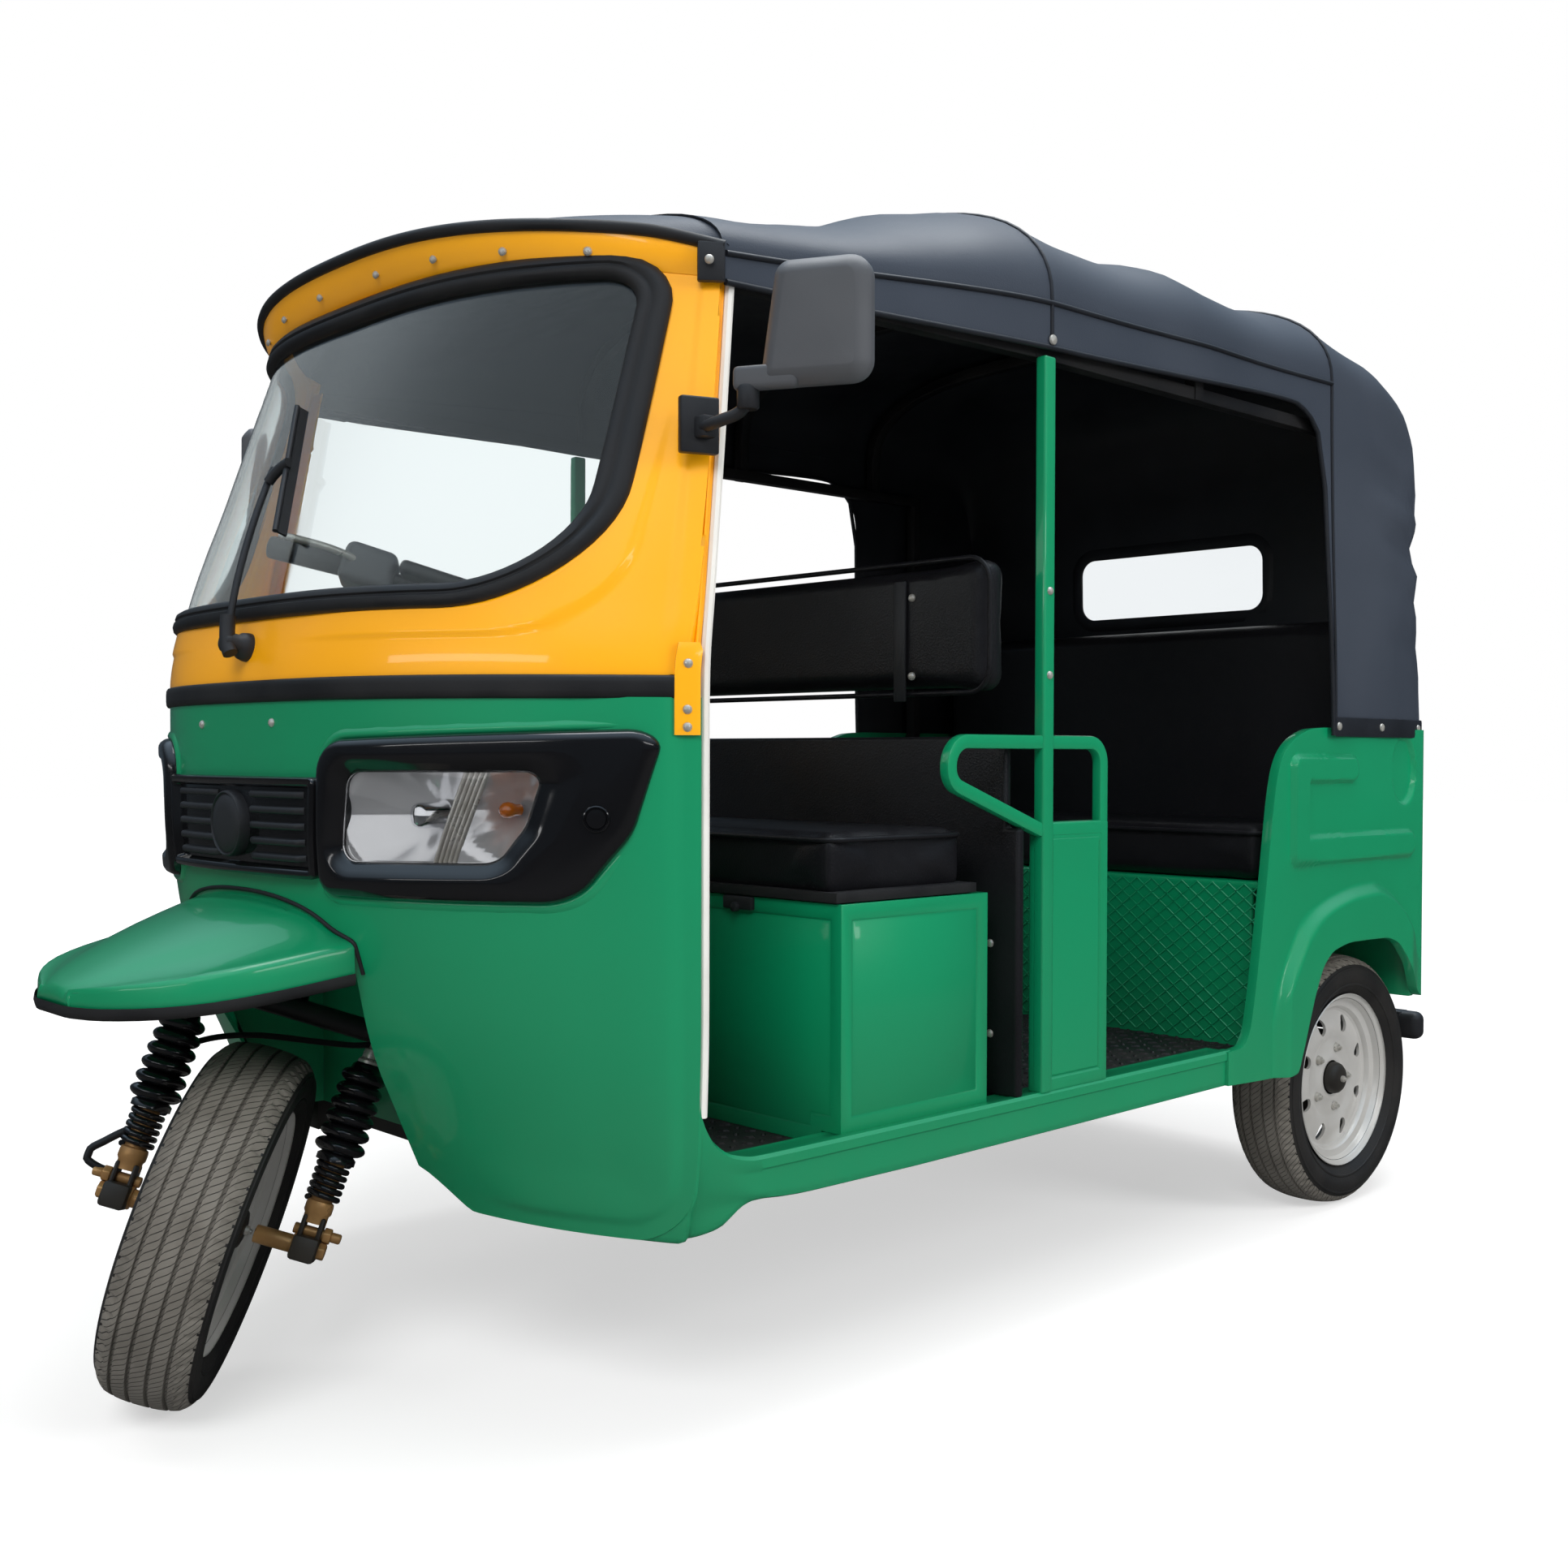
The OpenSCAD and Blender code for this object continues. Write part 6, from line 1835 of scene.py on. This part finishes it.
# a welt round a cushion's edge
def pipingRound(name, body, low, high, axis, at, radius=0.0042, corner=0.030):
    low, high = Vector(low), Vector(high)
    a, b = [k for k in range(3) if k != axis]
    corners = [(low[a], low[b], corner), (high[a], low[b], corner), (high[a], high[b], corner),
               (low[a], high[b], corner)]
    points = []
    for p in loopOf(corners, 0.0, 6, 10):
        spot = Vector((0, 0, 0))
        spot[a], spot[b], spot[axis] = p.x, p.y, at
        points.append(spot)
    piping = tube(name, points, radius, closed=True, resolution=2, smoothPath=False)
    return finishPiece(piping, "seatVinyl", "seat_vinyl", angle=60, body=body)


for row in cushions:
    makeCushion(*row)
pipingRound("driverPipingTop", "driver_seat_lid", (-0.579, -0.443, 0), (0.579, -0.157, 0), 2, 0.772)
pipingRound("benchPipingTop", "body", (-0.573, 0.690, 0), (0.573, 1.110, 0), 2, 0.746)
pipingRound("backrestPiping", "body", (-0.590, 0, 0.987), (0.590, 0, 1.193), 1, -0.114, corner=0.040)
print("cushions ready")


def makeBackrestBars():
    bars = []
    for x in (-0.415, 0.415):
        bars.append(roundBox("bar", (x - 0.012, -0.127, 0.975), (x + 0.012, -0.121, 1.165), 0.002))
    finishPiece(joined("backrestBars", bars), "satinBlack", "black_paint")
    bolt = boltHead("bolt", 0.0065, 0.0045)
    places = []
    face = facing((0, -1, 0))
    for x in (-0.437, 0.437):
        places += [Matrix.Translation((x, -0.1215, z)) @ face for z in (1.015, 1.138)]
    for side in (-1, 1):
        out = facing((side, 0, 0))
        places += [Matrix.Translation((side * 0.6172, -0.0025, z)) @ out for z in (1.015, 1.145)]
        places += [Matrix.Translation((side * 0.560, -0.0735, z)) @ face for z in (0.46, 0.60)]
    finishPiece(copies("cabinBolts", bolt, places), "zinc", "shock_metal", angle=50)


makeBackrestBars()


# rear quarter panels: outline rows along y, the raised shapes and the flare are lifted off the skin

quarterHigh = [(0.515, 0.3655), (0.562, 0.3690), (0.584, 0.392), (0.598, 0.440), (0.636, 0.642),
               (0.668, 0.830), (0.682, 0.872), (0.702, 0.900), (0.730, 0.920), (0.765, 0.934),
               (0.800, 0.9420), (0.860, 0.945), (1.255, 0.945)]
quarterLow = [(0.515, 0.306), (0.690, 0.300), (0.722, 0.304), (0.742, 0.340), (0.766, 0.398), (0.792, 0.455),
              (0.820, 0.498), (0.860, 0.522), (0.930, 0.532), (1.060, 0.530), (1.110, 0.518), (1.150, 0.488),
              (1.190, 0.446), (1.225, 0.414), (1.255, 0.394)]
flareTop = [(0.655, 0.380), (0.690, 0.470), (0.730, 0.536), (0.765, 0.575), (0.825, 0.604), (0.887, 0.621),
            (0.960, 0.633), (1.033, 0.637), (1.090, 0.622), (1.136, 0.598), (1.175, 0.565), (1.209, 0.527),
            (1.240, 0.475), (1.256, 0.450)]
embossBars = [(0.722, 0.968, 0.840, 0.892), (0.722, 0.780, 0.686, 0.892), (0.722, 1.208, 0.686, 0.741)]


def boxReach(y, z, bar, radius=0.022):  # signed distance to a box with round corners
    y0, y1, z0, z1 = bar
    dy = abs(y - (y0 + y1) / 2) - (y1 - y0) / 2 + radius
    dz = abs(z - (z0 + z1) / 2) - (z1 - z0) / 2 + radius
    return math.hypot(max(dy, 0), max(dz, 0)) + min(max(dy, dz), 0) - radius


def quarterLift(y, z):
    reach = min(boxReach(y, z, bar) for bar in embossBars)
    lift = 0.0105 * (1 - ease(-0.007, 0.003, reach))
    oval = math.hypot((y - 1.172) / 0.052, (z - 0.862) / 0.072)
    lift -= 0.0090 * (1 - ease(0.86, 1.0, oval))
    low, top = along(quarterLow, y)[0], along(flareTop, y)[0]
    if y > 0.66:
        share = (z - low) / max(top - low, 0.01)
        lift += 0.019 * (1 - ease(0.80, 1.06, share)) * ease(0.66, 0.70, y) * (1 - ease(1.17, 1.25, y))
    return lift


def makeQuarters():
    stations = [0.515, 0.53, 0.545, 0.556, 0.562, 0.568, 0.574, 0.579, 0.584, 0.588, 0.592, 0.595, 0.598]
    y = 0.598
    while y < 1.2485:
        y += 0.0045 if y < 1.22 else 0.007
        stations.append(min(y, 1.255))
    stations[-1] = 1.255
    rows = 124
    for side, word in ((1, "left"), (-1, "right")):
        def rule(u, v):
            y = stations[stepOf(u, len(stations) - 1)]
            z = mix(along(quarterLow, y)[0], along(quarterHigh, y)[0], (v + 1) / 2)
            return Vector((side * (0.620 + quarterLift(y, z)), y, z))
        obj = skin("quarter_" + word, len(stations) - 1, rows, rule, (0, 0.9, 0.7), 0.018)
        bevel(obj, 0.003, 2, 60)
        finishPiece(obj, "greenPaint", "green_paint", ["quarter_" + word], 30)


makeQuarters()
print("quarters ready")


# canopy: one sheet over the bows, down the sides and the back

canopy = {"bows": [(-0.64, 0.034), (0.0, 0.022), (0.44, 0.020), (0.87, 0.010), (1.08, 0.004), (1.253, 0.0)],
          "hem": 0.930, "hemLine": 0.9335, "windowX": 0.255, "windowZ": (1.210, 1.372), "thick": 0.0022,
          "rearY": 1.253, "rearEdge": 1.432, "rearHalf": 0.598, "rearSkin": 1.2535, "doorRear": 0.8615,
          "girth": 1.72, "roofRun": 1.92, "backDrop": 0.66}
hemBand = [(0.0, -0.006), (0.0030, -0.005), (0.0036, -0.001), (0.0036, 0.026), (0.0030, 0.031), (0.0, 0.032)]
openTop = [(-0.64, 1.503), (-0.30, 1.512), (0.0, 1.521), (0.40, 1.536), (0.70, 1.548), (0.738, 1.5465),
           (0.770, 1.537), (0.798, 1.521), (0.818, 1.500), (0.832, 1.472), (0.839, 1.440), (0.843, 1.380),
           (0.850, 1.20), (0.858, 1.0), (0.8615, 0.930), (1.253, 0.930)]


def sideShares():  # heights of the side's rows as shares, with rows at the rear window's edges
    low, (first, second), high = canopy["hem"], canopy["windowZ"], canopy["rearEdge"]
    levels = [mix(low, first, k / 9) for k in range(9)] + [mix(first, second, k / 6) for k in range(6)]
    levels += [mix(second, high, k / 3) for k in range(4)]
    return [(z - low) / (high - low) for z in levels]


def topShares():  # places across the roof, closer near the edges, with columns at the window's edges
    cut = canopy["windowX"] / canopy["rearHalf"]
    half = [cut * k / 7 for k in range(7)] + [cut + (1 - cut) * (1 - (1 - k / 13) ** 2.2) for k in range(14)]
    return [-t for t in half[:0:-1]] + half


def bowSag(y):
    for (start, depth), (end, _) in zip(canopy["bows"], canopy["bows"][1:]):
        if start <= y <= end:
            return depth * math.sin(math.pi * (y - start) / (end - start)) ** 1.3 if depth else 0.0
    return 0.0


def canopySide(y, z):  # half width of the side at a height
    half, edge, _ = along(roofRows, y)
    down = max(0.0, edge - z)
    out = half + 0.012 * ease(0.0, 0.65, down) - 0.35 * bowSag(y) * math.exp(-down * 14)
    if y > 0.84:  # slack folds hang from the rear corner
        fade = ease(0.90, 1.20, y) * math.exp(-((z - 1.36) / 0.20) ** 2) * ease(0.0, 0.08, down)
        out += fade * (0.0075 * math.sin(z * 62 + 9 * y) + 0.004 * math.sin(z * 31 - 14 * y) - 0.004)
        out += 0.003 * math.sin(y * 21 + 3 * z) * ease(1.45, 1.1, z) if z < 1.45 else 0.0
    return out


def canopyTop(y, t):
    half, edge, crown = along(roofRows, y)
    share = crownShare(t)
    x = (half - 0.35 * bowSag(y)) * t
    z = edge + (crown - edge) * share - bowSag(y) * share ** 0.8
    ripple = 0.0035 * math.sin(10 * t + 30 * y) * math.sin(math.pi * abs(t)) * ease(0.0, 0.012, bowSag(y))
    return Vector((x, y, z + ripple))


def rearOut(z):  # the back hangs slightly outwards towards its hem
    return canopy["rearSkin"] + 0.012 * ease(1.40, 0.93, z)


def makeCanopy():
    shares, tops = sideShares(), topShares()
    stations = [-0.64 + 0.64 * k / 16 for k in range(17)] + [0.44 * k / 12 for k in range(1, 13)]
    stations += [mix(0.44, 0.70, k / 6) for k in range(1, 7)]
    stations += [0.719, 0.738, 0.754, 0.770, 0.784, 0.798, 0.808, 0.818, 0.825, 0.832, 0.8355, 0.839, 0.843,
                 0.8465, 0.850, 0.854, 0.858, 0.8615]
    stations += [mix(0.8615, 1.18, k / 13) for k in range(1, 14)]
    stations += [1.195, 1.21, 1.222, 1.233, 1.240, 1.246, 1.250, 1.253]
    count = 2 * len(shares) + len(tops) - 3

    def rule(u, v):
        y = stations[stepOf(u, len(stations) - 1)]
        k = stepOf(v, count)
        low, edge = along(openTop, y)[0], along(roofRows, y)[1]
        last = len(shares) - 1
        if k < last or k > count - last:
            share = shares[k if k < last else count - k]
            z = mix(low, edge, share)
            side = -1 if k < last else 1
            spot = Vector((side * canopySide(y, z), y, z))
        else:
            spot = canopyTop(y, tops[k - last])
        if y > 1.2525:
            spot.y = rearOut(spot.z) if spot.z < 1.44 else y
        return spot

    main = startGrid("canopyMain", len(stations) - 1, count, rule)
    first, second = canopy["windowZ"]

    def rear(u, v):
        t = tops[stepOf(u, len(tops) - 1)]
        share = shares[stepOf(v, len(shares) - 1)]
        head = canopyTop(canopy["rearY"], t).z
        level = mix(canopy["hem"], canopy["rearEdge"], share)
        z = level if level <= second else mix(second, head, (level - second) / (canopy["rearEdge"] - second))
        side = canopySide(canopy["rearY"], level)
        x = t * (side if abs(t) > 0.999 else mix(canopy["rearHalf"], side, abs(t) ** 6))
        slack = 0.006 * math.sin(9 * x + 2) * math.sin(7 * z) * (1 - abs(t) ** 3) * (1 - share)
        y = rearOut(z) if z < 1.44 else canopy["rearY"]
        return Vector((x, y + slack, z))

    back = startGrid("canopyBack", len(tops) - 1, len(shares) - 1, rear)
    dropFaces(back, lambda c: abs(c.x) < canopy["windowX"] and first < c.z < second)
    obj = joined("canopySheet", [main, back])
    mend(obj, 0.0012)
    faceAway(obj, (0, 0.3, 1.0))
    thicken(obj, canopy["thick"])
    finishPiece(obj, "canopyVinyl", "canopy_vinyl", ["canopy"], 60)
    # the faces that look into the cab take the darker trim vinyl, a painted shade for the inside
    obj.data.materials.append(finish["canopyTrimAndInnerShade"])
    for face in obj.data.polygons:
        here = face.center
        inward = Vector((here.x, 0, here.z - 1.2)) if here.y < 1.2 else here - Vector((0, 0.3, 1.2))
        face.material_index = 1 if face.normal.dot(inward) < 0 else 0


makeCanopy()


def sectionLine(y, lift):
    points = []
    low, edge = along(openTop, y)[0], along(roofRows, y)[1]
    for k in range(9):
        z = mix(low + 0.004, edge - 0.01, k / 8)
        points.append(Vector((-canopySide(y, z) - lift, y, z)))
    for k in range(41):
        spot = canopyTop(y, -math.cos(math.pi * k / 40))
        out = Vector((spot.x * 0.5, 0, spot.z - 1.2)).normalized()
        points.append(spot + out * lift)
    for k in range(9):
        z = mix(edge - 0.01, low + 0.004, k / 8)
        points.append(Vector((canopySide(y, z) + lift, y, z)))
    return points


def makeCanopyTrim():
    lines = [tube("seam", sectionLine(y, 0.0008), 0.0032, resolution=2, smoothPath=False)
             for y in (0.004, 0.868)]
    for side in (-1, 1):
        edge = []
        for k in range(41):
            y = mix(-0.636, 0.868, k / 40)
            z = along(roofRows, y)[1] - 0.006
            edge.append(Vector((side * (canopySide(y, z) + 0.0012), y, z)))
        lines.append(tube("piping", edge, 0.0042, resolution=2, smoothPath=False))
        low = []
        for k in range(60):
            y = mix(-0.636, 0.842, k / 59)
            low.append(Vector((side * canopySide(y, along(openTop, y)[0]), y, along(openTop, y)[0])))
        for k in range(1, 16):
            z = mix(along(openTop, 0.842)[0], canopy["hem"], k / 15)
            y = mix(0.842, canopy["doorRear"], k / 15)
            low.append(Vector((side * canopySide(y, z), y, z)))
        lines.append(tube("binding", low, 0.0046, resolution=2, smoothPath=False))
        hem = []
        for k in range(20):
            y = mix(canopy["doorRear"], rearOut(canopy["hemLine"]), k / 19)
            hem.append(Vector((side * (canopySide(min(y, canopy["rearY"]), 0.93) + 0.001), y,
                               canopy["hemLine"])))

        def band(u, v):
            spot = hem[stepOf(u, 19)]
            lift, level = hemBand[stepOf(v, 5)]
            return spot + Vector((side * lift, 0, level))
        lines.append(skin("hem", 19, 5, band, (0, 1.0, 0.9)))

    def rearBand(u, v):
        lift, level = hemBand[stepOf(v, 5)]
        return Vector((u * (canopySide(canopy["rearY"], 0.93) + 0.001), rearOut(canopy["hemLine"]) + lift,
                       canopy["hemLine"] + level))
    lines.append(skin("hem", 24, 5, rearBand, (0, 1.0, 0.9)))
    corners = [(-0.246, 1.219, 0.036), (0.246, 1.219, 0.036), (0.246, 1.363, 0.036), (-0.246, 1.363, 0.036)]
    profile = [(0.028, -0.001), (0.026, 0.0030), (0.004, 0.0034), (0.0, 0.0020), (0.0, -0.0020),
               (0.004, -0.0036), (0.026, -0.0036), (0.028, -0.001)]
    rows = [[Vector((p.x, rearOut(p.y) + lift, p.y)) for p in loopOf(corners, grow, 8, 12)]
            for grow, lift in profile]
    lines.append(ringGrid("paneFrame", rows))
    finishPiece(joined("canopyBinding", lines), "canopyTrimAndInnerShade", "canopy_vinyl", angle=60)

    def pane(u, v):
        x, z = u * 0.262, mix(1.203, 1.379, (v + 1) / 2)
        return Vector((x, rearOut(z) + 0.0008 + 0.002 * math.sin(11 * x) * math.sin(19 * z), z))
    sheet = skin("rearPane", 24, 10, pane, (0, 0, 1.2))
    thicken(sheet, 0.001, 0)
    finishPiece(sheet, "clearVinyl", "screen_glass")
    snap = turned("snap", [(0.0, 0.0040), (0.0030, 0.0040), (0.0052, 0.0028), (0.0070, 0.0024),
                           (0.0080, 0.0010), (0.0082, -0.001)], Matrix.Identity(4), 16)
    places = []
    for side in (-1, 1):
        out = facing((side, 0, 0))
        places += [Matrix.Translation((side * (canopySide(y, 0.93) + 0.0044), y, 0.9475)) @ out
                   for y in (0.875, 1.056, 1.238)]
        places += [Matrix.Translation((side * (canopySide(0.004, 1.535) + 0.003), 0.004, 1.533)) @ out]
    face = facing((0, 1, 0))
    places += [Matrix.Translation((x, rearOut(canopy["hemLine"]) + 0.0040, 0.9475)) @ face
               for x in (-0.45, -0.15, 0.15, 0.45)]
    finishPiece(copies("canopySnaps", snap, places), "zinc", "shock_metal", angle=40)


makeCanopyTrim()
print("canopy ready")


# rear panel, hatch, tail lamps and blank plate

tailLamp = {"x": (0.450, 0.568), "rows": [  # name, finish, slot, solid, inset, y and z from and to, edge
    ("tailBases", "glossBlack", "black_plastic", ["tail_lamps"], 0.0, (1.2545, 1.266), (0.744, 0.882), 0.005),
    ("tailReds", "tailRed", "tail_lens", (), 0.006, (1.262, 1.2775), (0.818, 0.876), 0.007),
    ("tailAmbers", "amber", "tail_lens", (), 0.006, (1.262, 1.2765), (0.782, 0.815), 0.006),
    ("tailClears", "whiteTrim", "tail_lens", (), 0.006, (1.262, 1.2765), (0.750, 0.779), 0.006),
]}


def makeRear():
    finishPiece(nodeCopy("rearPanel", "rear_panel"), "greenPaint", "green_paint", ["rear_panel"])
    finishPiece(nodeCopy("hatchPanel", "engine_hatch"), "greenPaint", "green_paint", ["engine_hatch"],
                body="engine_hatch")
    low, high = nodeBox("engine_hatch")
    knob = roundBox("handle", (-0.045, high.y - 0.006, low.z + 0.030), (0.045, high.y + 0.012, low.z + 0.052),
                    0.005)
    finishPiece(knob, "satinBlack", "black_plastic", body="engine_hatch")
    plate = roundBox("blankPlate", (-0.12, high.y - 0.004, high.z - 0.118),
                     (0.12, high.y + 0.003, high.z - 0.035), 0.002)
    finishPiece(plate, "plateWhite", "black_plastic", body="engine_hatch")
    for name, look, slotName, nodes, inset, ys, zs, edge in tailLamp["rows"]:
        boxes = []
        for side in (-1, 1):
            x0, x1 = sorted(side * x for x in tailLamp["x"])
            boxes.append(roundBox("box", (x0 + inset, ys[0], zs[0]), (x1 - inset, ys[1], zs[1]), edge, 3))
        finishPiece(joined(name, boxes), look, slotName, nodes)


makeRear()
print("rear ready")
